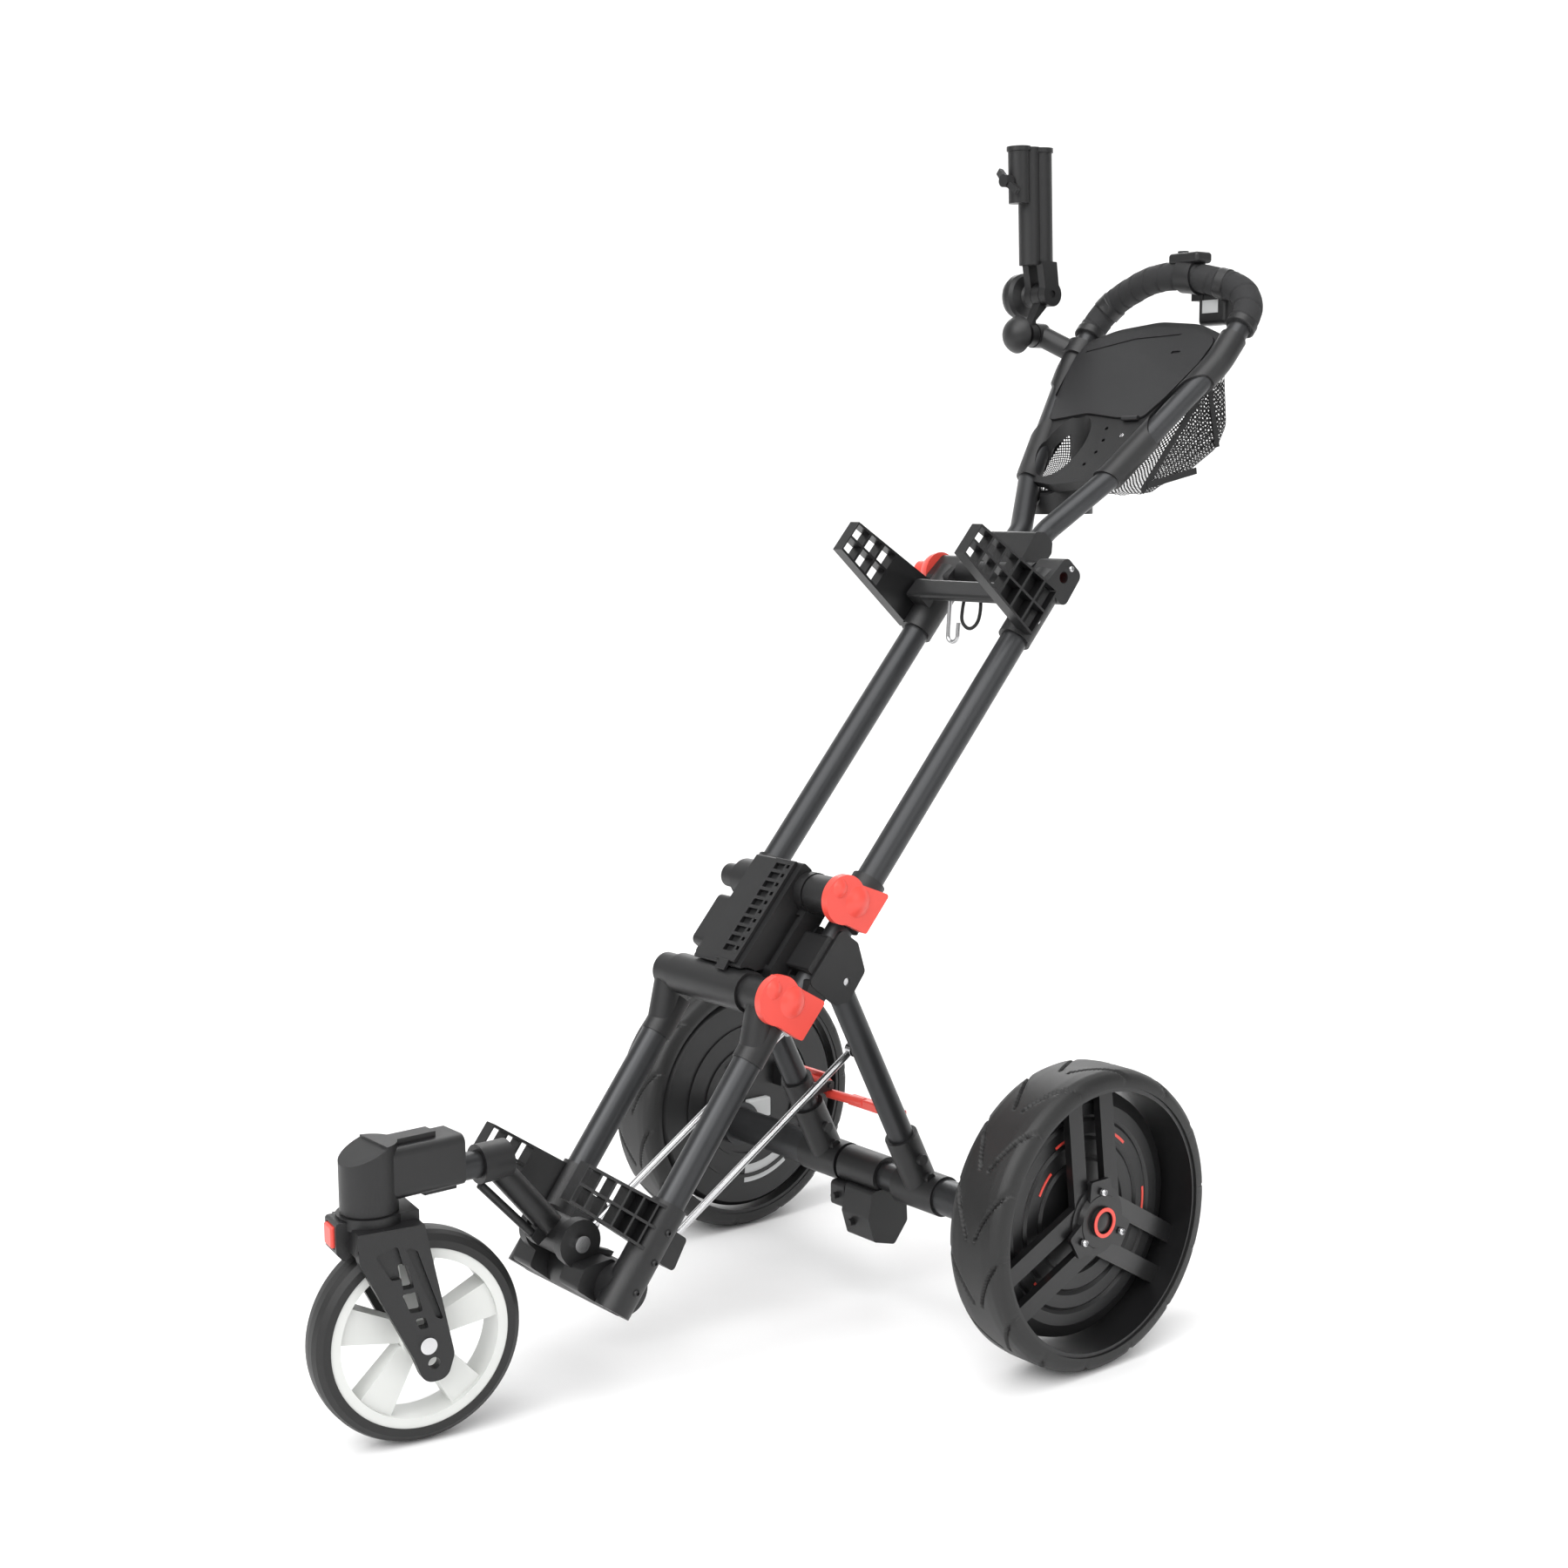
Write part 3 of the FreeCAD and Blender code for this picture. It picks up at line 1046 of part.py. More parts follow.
def umbrella_tube():
    """Socket for the umbrella's shaft, with a stiffening lobe, a clamp lobe and the tilt joint's fork."""
    y, z = UMBRELLA_TILT
    axis = UMBRELLA_TOP - UMBRELLA_BASE
    axis.normalize()
    main = bar(UMBRELLA_BASE, UMBRELLA_TOP, 15.5)
    rib = bar(UMBRELLA_BASE - V(0, 15, 0), UMBRELLA_TOP - V(0, 15, 0), 12.5)
    lobe = bar(UMBRELLA_TOP - axis * 62 - V(0, 31, 0), UMBRELLA_TOP - V(0, 31, 0), 12)
    rims = [bar(UMBRELLA_TOP - axis * 5 - V(0, back, 0), UMBRELLA_TOP - V(0, back, 0), radius + 1.5)
            for back, radius in ((0, 15.5), (31, 12))]
    parts = [main, rib, lobe] + rims
    for low, high in ((UMBRELLA_X - 16, UMBRELLA_X - 6 - GAP), (UMBRELLA_X + 6 + GAP, UMBRELLA_X + 16)):
        parts.append(pin(low, high, UMBRELLA_TILT, 14))
        parts.append(slab([(y - 11, z), (y + 11, z), (y + 6, z + 36), (y - 18, z + 36)], low, high, 1))
    bore = bar(UMBRELLA_BASE + axis * 12, UMBRELLA_TOP + axis * 5, UMBRELLA_BORE)
    screw_hole = bar(wing_point(0), wing_point(-34), 3.0 + RUNNING)
    room = pin(UMBRELLA_X - 6 - GAP, UMBRELLA_X + 6 + GAP, UMBRELLA_TILT, 15)
    hole = pin(UMBRELLA_X - 30, UMBRELLA_X + 30, UMBRELLA_TILT, 4)
    return cut(fuse(parts), [bore, screw_hole, room, hole])


def wing_point(along):
    """A point on the wing screw's axis; negative is towards the socket."""
    return V(UMBRELLA_X, 315 - along, 1166)


def wing_screw():
    shank = bar(wing_point(2), wing_point(-29), 3.0)
    hub = bar(wing_point(12), wing_point(1), 7)
    wings = []
    for turn in (-50, 130):
        wing = slab([(-4, 0), (4, 0), (8, 19), (2, 20)], -3.5, 3.5, 2)
        wing.rotate(V(0, 0, 0), V(0, 1, 0), turn)
        wing.translate(wing_point(8))
        wings.append(wing)
    return fuse([shank, hub] + wings)


def tilt_knob():
    """Big lobed knob of the fore-and-aft tilt, with its bolt."""
    face = UMBRELLA_X - 16 - GAP
    head = turned([(face, 0), (face, 10), (face - 5, 13), (face - 9, 23), (face - 13, 26), (face - 20, 26),
                   (face - 26, 23), (face - 30, 16), (face - 31, 0)], UMBRELLA_TILT)
    bolt = pin(face - 2, UMBRELLA_X + 14, UMBRELLA_TILT, 4 - RUNNING)
    return fuse([head, bolt])


def swing_knob():
    """Mushroom knob of the side-to-side tilt."""
    y, z = UMBRELLA_SWING
    face = y - 11 - GAP
    stem = bar(V(UMBRELLA_X, face - 12, z), V(UMBRELLA_X, face, z), 10)
    front = box((-200, -100), (face - 40, face - 12), (900, 1100))
    head = Part.makeSphere(22, V(UMBRELLA_X, face - 6, z)).common(front)
    bolt = bar(V(UMBRELLA_X, face - 2, z), V(UMBRELLA_X, y + 14, z), 4 - RUNNING)
    return fuse([stem, head, bolt])


# ---------------------------------------------------------------- bag cord and hook
HOOK_X = -21.0
CORD_R = 1.85
CORD_ROUTE = [(-1, 103, 718), (-4, 102, 704), (-3, 99, 689), (10, 98, 681), (23, 98, 689), (24, 101, 704),
              (21, 103, 718)]


def bag_hook():
    """Wire hook that hangs from the saddle."""
    points = [V(HOOK_X, 101, 722), V(HOOK_X, 97, 668), V(HOOK_X + 12, 99, 668), V(HOOK_X + 12, 101, 688)]
    return swept(points, 2.3, [6, 6])


def cord_bends(points):
    """As large an arc at each corner as its two runs allow."""
    bends = []
    for before, corner, after in zip(points, points[1:], points[2:]):
        turn = (corner - before).getAngle(after - corner)
        shorter = min((corner - before).Length, (after - corner).Length)
        bends.append(0.45 * shorter / math.tan(turn / 2))
    return bends


def cord_bar(radius):
    points = [V(*p) for p in CORD_ROUTE]
    return swept(points, radius, cord_bends(points))


def bungee_cord():
    """Elastic loop that holds the bag to the saddle."""
    return cord_bar(CORD_R)


# ---------------------------------------------------------------- assembly
def all_parts():
    parts = {}
    for side, name in ((1, "left"), (-1, "right")):
        for piece, make in (("rear_tyre", rear_tyre), ("rear_rim", rear_rim), ("hub_plate", hub_plate)):
            shape = make()
            parts[name + "_" + piece] = shape if side == 1 else mirror(shape)
    parts["motor_housings"] = both(motor_housing())
    parts["motor_covers"] = both(motor_cover())
    parts["wheel_bearings"] = both(wheel_bearing())
    parts["hub_motors"] = both(hub_motor())
    parts["battery_packs"] = both(battery_pack())
    for make in (rear_legs, axle_brackets, axle_tube, axle_clamp, brake_pedal, stay_rods, centre_casting,
                 centre_rails, hinge_pins, lower_cover, latch_strap, upper_cover, upper_hinge_ends,
                 lower_tubes, lower_hinge_ends, base_casting, lower_arms, arm_bolt, front_arm, front_link_tube,
                 front_head, caster_fork, caster_stem, lock_button, front_axle, front_tyre, front_rim,
                 upper_tubes, upper_bracket, upper_arms, handle_knob, bag_hook, bungee_cord, handle_block,
                 handle_tube, handle_grips, console_tray, console_lid, cup_holder, basket, controller,
                 control_button, handset, umbrella_clamp, umbrella_knuckle, umbrella_tube, tilt_knob, swing_knob,
                 wing_screw):
        parts[make.__name__] = make()
    return parts


def origin_of(parts):
    """The bottom centre of the whole trolley, in the working axes."""
    whole = FreeCAD.BoundBox()
    for shape in parts.values():
        whole.add(shape.BoundBox)
    return V(0.5 * (whole.XMin + whole.XMax), 0.5 * (whole.YMin + whole.YMax), whole.ZMin)


PARTS = all_parts()
ORIGIN = origin_of(PARTS)
os.makedirs("parts", exist_ok=True)
for node, part in PARTS.items():
    part = part.copy()
    part.translate(-ORIGIN)
    part.exportStep("parts/" + node + ".step")
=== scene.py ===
"""Looks of the electric golf trolley: finishes, tread, grip, net, cord, small fittings, light, camera.

Positions are written in millimetres from the centre plane, the rear axle's line and the ground, as the
trolley is designed, and at() turns them into the shared frame's metres.
"""

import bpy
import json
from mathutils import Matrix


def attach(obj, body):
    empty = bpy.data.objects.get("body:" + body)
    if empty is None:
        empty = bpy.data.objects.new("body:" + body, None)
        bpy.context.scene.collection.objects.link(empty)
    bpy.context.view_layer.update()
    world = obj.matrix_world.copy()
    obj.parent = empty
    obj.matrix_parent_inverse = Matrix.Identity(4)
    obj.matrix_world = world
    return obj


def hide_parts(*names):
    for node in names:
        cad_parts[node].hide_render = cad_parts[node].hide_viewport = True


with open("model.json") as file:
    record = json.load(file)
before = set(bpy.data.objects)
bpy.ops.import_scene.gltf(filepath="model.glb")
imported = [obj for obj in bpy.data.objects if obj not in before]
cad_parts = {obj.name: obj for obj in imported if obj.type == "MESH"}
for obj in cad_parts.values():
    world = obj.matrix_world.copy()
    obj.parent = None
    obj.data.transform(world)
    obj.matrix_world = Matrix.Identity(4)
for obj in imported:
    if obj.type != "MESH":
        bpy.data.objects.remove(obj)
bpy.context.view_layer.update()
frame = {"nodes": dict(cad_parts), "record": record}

import json
import math

import bmesh
import bpy
from mathutils import Matrix, Vector

# ---------------------------------------------------------------- sizes shared with the design
AXLE_Y = 109.5                  # rear axle's line in the shared frame
REAR_R = 145.0                  # rear tyre
REAR_OUT = 300.0
REAR_W = 66.0
RIM_R = REAR_R - 16.5
COVER_X = 267.0                 # motor cover's outer face
HUB_X = 294.0                   # hub plate's outer face
HOUSING_X = 238.0               # motor housing's inner face
SLOPE = 48.7                    # slope of the upper frame
UPPER_TOP = (92.0, 666.0)       # the bag bracket's start on the tube's axis
LOWER_SLOPE = 52.1
LOWER_START = (-239.0, 307.0)
TRAY_START = (245.0, 836.0)
TRAY_SLOPE = 47.9
LOOP_SIDE = (109.5, 398.0, 993.5)       # halfway up the handle loop's side
LOOP_CORNER = (111.0, 430.0, 1031.0)
LOOP_CROWN = (0.0, 408.0, 1063.0)
LOOP_BENDS = (42.0, 150.0, 42.0)
GRIP_R = 15.6
WRAP_PITCH = 21.0
CORD_ROUTE = [(-1, 103, 718), (-4, 102, 704), (-3, 99, 689), (10, 98, 681), (23, 98, 689), (24, 101, 704),
              (21, 103, 718)]
CORD_R = 1.85
NET_SIDE = [(8, -34), (26, -52), (84, -84), (130, -100), (156, -95), (190, -58)]    # on the tray
NET_HALF = 83.0
NET_TOP = -34.0
SPOKE_TURNS = (90, 210, 330)    # directions of the rear wheels' spokes
BOLT_RING = 29.0                # the hub bolts' distance from the axis
MARKER_STUDS = (46, -70)        # across the tray
SIDES = (1, -1)
SIDE_NAME = {1: "left", -1: "right"}

# ---------------------------------------------------------------- camera
CAMERA_SPOT = (1637, -1472.3, 834.8)
CAMERA_YAW = 50.89
CAMERA_PITCH = 7.90
CAMERA_ROLL = -0.355
LENS = 50.10

# ---------------------------------------------------------------- colours
BLACK = (0.009, 0.009, 0.0095)
CHARCOAL = (0.018, 0.018, 0.019)
GUNMETAL = (0.045, 0.046, 0.048)
RUBBER = (0.009, 0.009, 0.009)
RED = (0.80, 0.075, 0.055)
WHITE = (0.66, 0.67, 0.65)
STEEL = (0.62, 0.62, 0.63)
PALE = (0.55, 0.56, 0.56)


def at(x, y, z):
    return Vector((x, y + AXLE_Y, z)) / 1000


def step(start, slope, along, across):
    """A side-view point moved along a slope and across it, towards the front."""
    c = math.cos(math.radians(slope))
    s = math.sin(math.radians(slope))
    return (start[0] + along * c - across * s, start[1] + along * s + across * c)


def on_tray(x, along, across):
    return at(x, *step(TRAY_START, TRAY_SLOPE, along, across))


def round_hub(x, radius, angle):
    """A point round the rear wheels' axis, the angle counted from the back."""
    a = math.radians(angle)
    return at(x, radius * math.cos(a), REAR_R + radius * math.sin(a))


# ---------------------------------------------------------------- materials
def textured(name, colour, roughness, metallic=0.0, grain=1400.0, depth=0.00015, mottle=0.12,
             stretch=(1, 1, 1)):
    """A surface with fine relief, and a slow change of colour and roughness over it."""
    material = bpy.data.materials.new(name)
    material.use_nodes = True
    nodes = material.node_tree.nodes
    links = material.node_tree.links
    shader = nodes["Principled BSDF"]
    shader.inputs["Metallic"].default_value = metallic
    place = nodes.new("ShaderNodeTexCoord")
    scale = nodes.new("ShaderNodeMapping")
    scale.inputs["Scale"].default_value = stretch
    links.new(place.outputs["Object"], scale.inputs["Vector"])
    fine = nodes.new("ShaderNodeTexNoise")
    fine.inputs["Scale"].default_value = grain
    fine.inputs["Detail"].default_value = 3.0
    links.new(scale.outputs["Vector"], fine.inputs["Vector"])
    bump = nodes.new("ShaderNodeBump")
    bump.inputs["Distance"].default_value = depth
    bump.inputs["Strength"].default_value = 0.7
    links.new(fine.outputs["Fac"], bump.inputs["Height"])
    links.new(bump.outputs["Normal"], shader.inputs["Normal"])
    broad = nodes.new("ShaderNodeTexNoise")
    broad.inputs["Scale"].default_value = 28.0
    broad.inputs["Detail"].default_value = 4.0
    links.new(place.outputs["Object"], broad.inputs["Vector"])
    shine = nodes.new("ShaderNodeMapRange")
    shine.inputs["To Min"].default_value = roughness * (1 - mottle)
    shine.inputs["To Max"].default_value = roughness * (1 + mottle)
    links.new(broad.outputs["Fac"], shine.inputs["Value"])
    links.new(shine.outputs["Result"], shader.inputs["Roughness"])
    tint = nodes.new("ShaderNodeMix")
    tint.data_type = "RGBA"
    tint.inputs["A"].default_value = [c * (1 - mottle) for c in colour] + [1]
    tint.inputs["B"].default_value = [c * (1 + mottle) for c in colour] + [1]
    links.new(broad.outputs["Fac"], tint.inputs["Factor"])
    links.new(tint.outputs["Result"], shader.inputs["Base Color"])
    return material


def tyre_rubber():
    return textured("tyre_rubber", RUBBER, 0.50, grain=900, depth=0.0002)


def wheel_plastic():
    return textured("wheel_plastic", BLACK, 0.30, grain=1100, depth=0.00008)


def motor_case():
    return textured("motor_case", BLACK, 0.36, grain=1300, depth=0.0001)


def motor_core():
    return textured("motor_core", (0.30, 0.24, 0.20), 0.45, metallic=0.8)


def battery_case():
    return textured("battery_case", (0.05, 0.09, 0.16), 0.5)


def bearing_steel():
    return textured("bearing_steel", STEEL, 0.25, metallic=1.0, grain=500)


def rod_steel():
    return textured("rod_steel", STEEL, 0.24, metallic=1.0, grain=900, depth=0.00006, mottle=0.2)


def dark_tube():
    return textured("dark_tube", GUNMETAL, 0.36, metallic=0.65, grain=2200, depth=0.00005)


def black_plastic():
    return textured("black_plastic", BLACK, 0.43, grain=1500, depth=0.00022)


def arm_plastic():
    return textured("arm_plastic", BLACK, 0.34, grain=1200, depth=0.0001)


def lid_plastic():
    return textured("lid_plastic", (0.013, 0.013, 0.014), 0.46, grain=1700, depth=0.00025)


def handset_plastic():
    return textured("handset_plastic", BLACK, 0.4)


def red_plastic():
    return textured("red_plastic", RED, 0.34, grain=800, depth=0.00006, mottle=0.06)


def white_plastic():
    return textured("white_plastic", WHITE, 0.38, grain=900, depth=0.00008, mottle=0.04)


def grip_foam():
    return textured("grip_foam", CHARCOAL, 0.78, grain=2600, depth=0.0004)


def cord():
    """Braided sheath: fine diagonal bands."""
    return textured("cord", BLACK, 0.72, grain=2400, depth=0.0003, stretch=(1, 1, 0.3))


def label_white():
    return textured("label_white", PALE, 0.5, grain=600, depth=0.00003, mottle=0.05)


def net():
    """Knotted net: strands on two diagonals, with clear openings between them."""
    material = textured("net", BLACK, 0.7, grain=3000, depth=0.0003)
    nodes = material.node_tree.nodes
    links = material.node_tree.links
    across = nodes.new("ShaderNodeUVMap")
    split = nodes.new("ShaderNodeSeparateXYZ")
    links.new(across.outputs["UV"], split.inputs["Vector"])
    waves = []
    for operation in ("ADD", "SUBTRACT"):
        mixed = nodes.new("ShaderNodeMath")
        mixed.operation = operation
        links.new(split.outputs["X"], mixed.inputs[0])
        links.new(split.outputs["Y"], mixed.inputs[1])
        wave = nodes.new("ShaderNodeMath")
        wave.operation = "SINE"
        links.new(mixed.outputs[0], wave.inputs[0])
        size = nodes.new("ShaderNodeMath")
        size.operation = "ABSOLUTE"
        links.new(wave.outputs[0], size.inputs[0])
        waves.append(size)
    both = nodes.new("ShaderNodeMath")
    both.operation = "MULTIPLY"
    links.new(waves[0].outputs[0], both.inputs[0])
    links.new(waves[1].outputs[0], both.inputs[1])
    strand = nodes.new("ShaderNodeMath")
    strand.operation = "LESS_THAN"
    strand.inputs[1].default_value = 0.56
    links.new(both.outputs[0], strand.inputs[0])
    links.new(strand.outputs[0], nodes["Principled BSDF"].inputs["Alpha"])
    return material


FINISHES = {make.__name__: make() for make in
            (tyre_rubber, wheel_plastic, motor_case, motor_core, battery_case, bearing_steel, rod_steel,
             dark_tube, black_plastic, arm_plastic, lid_plastic, handset_plastic, red_plastic,
             white_plastic, grip_foam, cord, label_white, net)}


def paint_cad():
    """Gives every CAD node the finish of its material slot."""
    for part in frame["record"]["subparts"]:
        mesh = frame["nodes"][part["node"]].data
        mesh.materials.clear()
        mesh.materials.append(FINISHES[part["material_slot"]])


# ---------------------------------------------------------------- building pieces
def piece(name, points, faces, finish, body, smooth=True):
    """A mesh in place, with its finish, that rides on a body."""
    mesh = bpy.data.meshes.new(name)
    mesh.from_pydata([tuple(p) for p in points], [], faces)
    mesh.materials.append(FINISHES[finish])
    obj = bpy.data.objects.new(name, mesh)
    bpy.context.scene.collection.objects.link(obj)
    tidy = bmesh.new()
    tidy.from_mesh(mesh)
    bmesh.ops.recalc_face_normals(tidy, faces=tidy.faces)
    tidy.to_mesh(mesh)
    tidy.free()
    if smooth:
        mesh.shade_smooth()
    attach(obj, body)
    return obj


def grid_faces(rows, columns, wrap_rows, wrap_columns):
    """Quads over a grid of points stored row after row."""
    faces = []
    for i in range(rows if wrap_rows else rows - 1):
        for j in range(columns if wrap_columns else columns - 1):
            low = i * columns
            high = (i + 1) % rows * columns
            following = (j + 1) % columns
            faces.append((low + j, low + following, high + following, high + j))
    return faces


def turned(name, centre, axis, profile, finish, body, segments=28):
    """A solid of revolution: profile holds (height along the axis, radius) pairs in millimetres."""
    turn = Vector((0, 0, 1)).rotation_difference(Vector(axis)).to_matrix()
    points = []
    for height, radius in profile:
        for k in range(segments):
            a = 2 * math.pi * k / segments
            offset = Vector((radius * math.cos(a), radius * math.sin(a), height))
            points.append(centre + turn @ offset / 1000)
    faces = grid_faces(len(profile), segments, False, True)
    faces.append(tuple(range(segments)))
    faces.append(tuple(range((len(profile) - 1) * segments, len(profile) * segments)))
    obj = piece(name, points, faces, finish, body)
    obj.data.set_sharp_from_angle(angle=math.radians(40))
    return obj


def screw(name, centre, axis, radius, body, finish="rod_steel"):
    """A dome head with a socket."""
    profile = [(-1, radius), (0.5 * radius, radius), (0.8 * radius, 0.75 * radius),
               (0.9 * radius, 0.5 * radius), (0.3 * radius, 0.42 * radius), (0.25 * radius, 0.1 * radius)]
    return turned(name, centre, axis, profile, finish, body, 18)


def block(name, centre, size, finish, body, rounding):
    """A rounded box, its sizes in millimetres."""
    mesh = bpy.data.meshes.new(name)
    build = bmesh.new()
    bmesh.ops.create_cube(build, size=1)
    bmesh.ops.scale(build, vec=Vector(size) / 1000, verts=build.verts)
    bmesh.ops.bevel(build, geom=build.edges, offset=rounding / 1000, segments=3, affect="EDGES",
                    profile=0.5)
    bmesh.ops.translate(build, vec=centre, verts=build.verts)
    build.to_mesh(mesh)
    build.free()
    mesh.materials.append(FINISHES[finish])
    mesh.shade_smooth()
    mesh.set_sharp_from_angle(angle=math.radians(50))
    obj = bpy.data.objects.new(name, mesh)
    bpy.context.scene.collection.objects.link(obj)
    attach(obj, body)
    return obj


def arc_plate(name, x, thickness, inner, outer, start, end, finish, body):
    """A flat arc round the rear wheels' axis that stands off the plane x."""
    count = max(6, int(abs(end - start) / 3))
    points = []
    for k in range(count + 1):
        angle = start + (end - start) * k / count
        for face, radius in ((x, inner), (x, outer), (x + thickness, outer), (x + thickness, inner)):
            points.append(round_hub(face, radius, angle))
    faces = grid_faces(count + 1, 4, False, True)
    faces.append((0, 1, 2, 3))
    faces.append(tuple(4 * count + k for k in range(4)))
    return piece(name, points, faces, finish, body, smooth=False)


def rounded(points, bends, steps=10):
    """Points along a path whose corners are rounded by the radii in bends."""
    path = [points[0]]
    for before, corner, after, bend in zip(points, points[1:], points[2:], bends):
        back = (before - corner).normalized()
        ahead = (after - corner).normalized()
        half = back.angle(ahead) / 2
        reach = bend / math.tan(half)
        centre = corner + (back + ahead).normalized() * (bend / math.sin(half))
        start = corner + back * reach - centre
        end = corner + ahead * reach - centre
        axis = start.cross(end)
        for k in range(steps + 1):
            path.append(centre + Matrix.Rotation(start.angle(end) * k / steps, 3, axis) @ start)
    return path + [points[-1]]


def evenly(path, spacing):
    """The same path with its points at even spacing."""
    even = [path[0]]
    carry = spacing
    for a, b in zip(path, path[1:]):
        length = (b - a).length
        while carry <= length:
            even.append(a + (b - a) * (carry / length))
            carry += spacing
        carry -= length
    return even


def tube(name, path, radius_at, finish, body, sides=40):
    """A closed tube along a path; radius_at(distance, angle) gives its radius in metres."""
    points = []
    distance = 0.0
    ahead = (path[1] - path[0]).normalized()
    sideways = ahead.orthogonal().normalized()
    for i, centre in enumerate(path):
        following = (path[min(i + 1, len(path) - 1)] - path[max(i - 1, 0)]).normalized()
        sideways = ahead.rotation_difference(following) @ sideways
        ahead = following
        other = ahead.cross(sideways)
        for k in range(sides):
            a = 2 * math.pi * k / sides
            outward = sideways * math.cos(a) + other * math.sin(a)
            points.append(centre + outward * radius_at(distance, a))
        if i + 1 < len(path):
            distance += (path[i + 1] - centre).length
    faces = grid_faces(len(path), sides, False, True)
    faces.append(tuple(range(sides)))
    faces.append(tuple(range((len(path) - 1) * sides, len(path) * sides)))
    return piece(name, points, faces, finish, body)


# ---------------------------------------------------------------- rear tyres
TREAD = [(-33, 9), (-30, 4), (-24, 1), (-15, 0), (15, 0), (24, 1), (30, 4), (33, 9)]    # (x, drop)
LUGS = 14
GROOVE = 3.0
GROOVE_SHARE = 0.11      # a groove's width, as a share of the lugs' pitch


def crown_drop(x):
    """How far the tyre's surface lies below its crown at a distance from its middle."""
    for (x0, low), (x1, high) in zip(TREAD, TREAD[1:]):
        if x <= x1:
            return low + (high - low) * (x - x0) / (x1 - x0)
    return TREAD[-1][1]


def tread_depth(x, angle):
    """Swept grooves that meet in a wide arrow at the tyre's middle."""
    share = abs(x) / 33
    turn = (angle * LUGS / (2 * math.pi) + 1.25 * share - 0.25 * share * share) % 1.0
    edge = min(turn, GROOVE_SHARE - turn) / 0.025
    depth = max(0.0, min(1.0, edge)) if share > 0.12 else 0.0
    return GROOVE * depth * (1 - 0.5 * max(0, share - 0.8) / 0.2)


def rear_tyre(side):
    """Tyre with a moulded tread over the CAD tyre's outline."""
    across = [-33 + 66 * k / 36 for k in range(37)]
    around = 720
    middle = REAR_OUT - REAR_W / 2
    points = []
    for k in range(around):
        angle = 2 * math.pi * k / around
        ring = [(-33, RIM_R)]
        ring += [(x, REAR_R - crown_drop(x) - tread_depth(x, angle)) for x in across]
        ring.append((33, RIM_R))
        for x, radius in ring:
            points.append(round_hub(side * (middle + x), radius, math.degrees(angle)))
    faces = grid_faces(around, len(across) + 2, True, True)
    name = SIDE_NAME[side]
    obj = piece(name + "_tread_tyre", points, faces, "tyre_rubber", name + "_wheel")
    obj.data.set_sharp_from_angle(angle=math.radians(45))
    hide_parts(name + "_rear_tyre")


# ---------------------------------------------------------------- rear wheels' small features
# The red marks on the motor covers: radius, start and end angle.
ARCS = ((83, 45, 60), (87, -12, 6), (63, 130, 152), (63, -168, -148), (81, -139, -126), (79, 96, 116))
MARK_HALF = 1.3


def wheel_details(side):
    """Bolts and red ring on the hub plate, red marks on the motor's cover, fittings on its inner face."""
    name = SIDE_NAME[side]
    outward = (side, 0, 0)
    for k, turn in enumerate(SPOKE_TURNS):
        head = round_hub(side * (HUB_X + 2.0), BOLT_RING, turn)
        screw(f"{name}_hub_bolt_{k}", head, outward, 3.6, name + "_wheel")
    arc_plate(name + "_hub_ring", side * (HUB_X + 4.0), side * 0.8, 10.8, 14.3, 0, 360, "red_plastic",
              name + "_wheel")
    turned(name + "_hub_cap", at(side * (HUB_X - 0.5), 0, REAR_R), outward,
           [(0, 10.2), (2.5, 10.0), (3.2, 8.8)], "wheel_plastic", name + "_wheel")
    for k, (radius, start, end) in enumerate(ARCS):
        arc_plate(f"{name}_red_mark_{k}", side * (COVER_X - 0.2), side * 0.7, radius - MARK_HALF,
                  radius + MARK_HALF, start, end, "red_plastic", "rear_axle")
    inner = -side
    face = side * HOUSING_X
    arc_plate(name + "_inner_label", face + inner * 0.1, inner * 0.4, 74, 94, -96, -58, "label_white",
              "rear_axle")
    arc_plate(name + "_inner_bracket", face, inner * 2.4, 45, 55, 84, 128, "rod_steel", "rear_axle")
    block(name + "_inner_box", at(face + inner * 4, 8, 136), (10, 30, 22), "label_white",
          "rear_axle", 2)


# ---------------------------------------------------------------- handle grip
GRIP_SPACING = 1.2      # between the points of the grip's path
# Bands over the wrap: name, first and last path point, counted from the left end or back from the right.
GRIP_BANDS = (("grip_end_left", 0, 8), ("grip_end_right", -9, -1), ("grip_band", 205, 218),
              ("grip_hook_band", 62, 72))


def wrap_radius(distance, angle):
    """Foam radius with the seam that winds round it."""
    turn = (distance * 1000 / WRAP_PITCH + angle / (2 * math.pi)) % 1.0
    away = min(turn, 1 - turn)
    groove = 1.4 * max(0.0, 1 - away / 0.06)
    overlap = 0.5 * turn
    return (GRIP_R - groove - overlap) / 1000


def band_radius(distance, angle):
    return (GRIP_R + 0.9) / 1000


def handle_grip():
    left = [at(*LOOP_SIDE), at(*LOOP_CORNER)]
    right = [at(-LOOP_CORNER[0], *LOOP_CORNER[1:]), at(-LOOP_SIDE[0], *LOOP_SIDE[1:])]
    bends = [bend / 1000 for bend in LOOP_BENDS]
    path = evenly(rounded(left + [at(*LOOP_CROWN)] + right, bends, 24), GRIP_SPACING / 1000)
    grip = tube("wrapped_grip", path, wrap_radius, "grip_foam", "handle", 44)
    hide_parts("handle_grips")
    for name, low, high in GRIP_BANDS:
        band = path[low:high] if high > 0 else path[low:]
        tube(name, band, band_radius, "black_plastic", "handle", 36)


# ---------------------------------------------------------------- net
NET_PITCH = 5.2
NET_ROW = 3.0           # between the net's rows of points


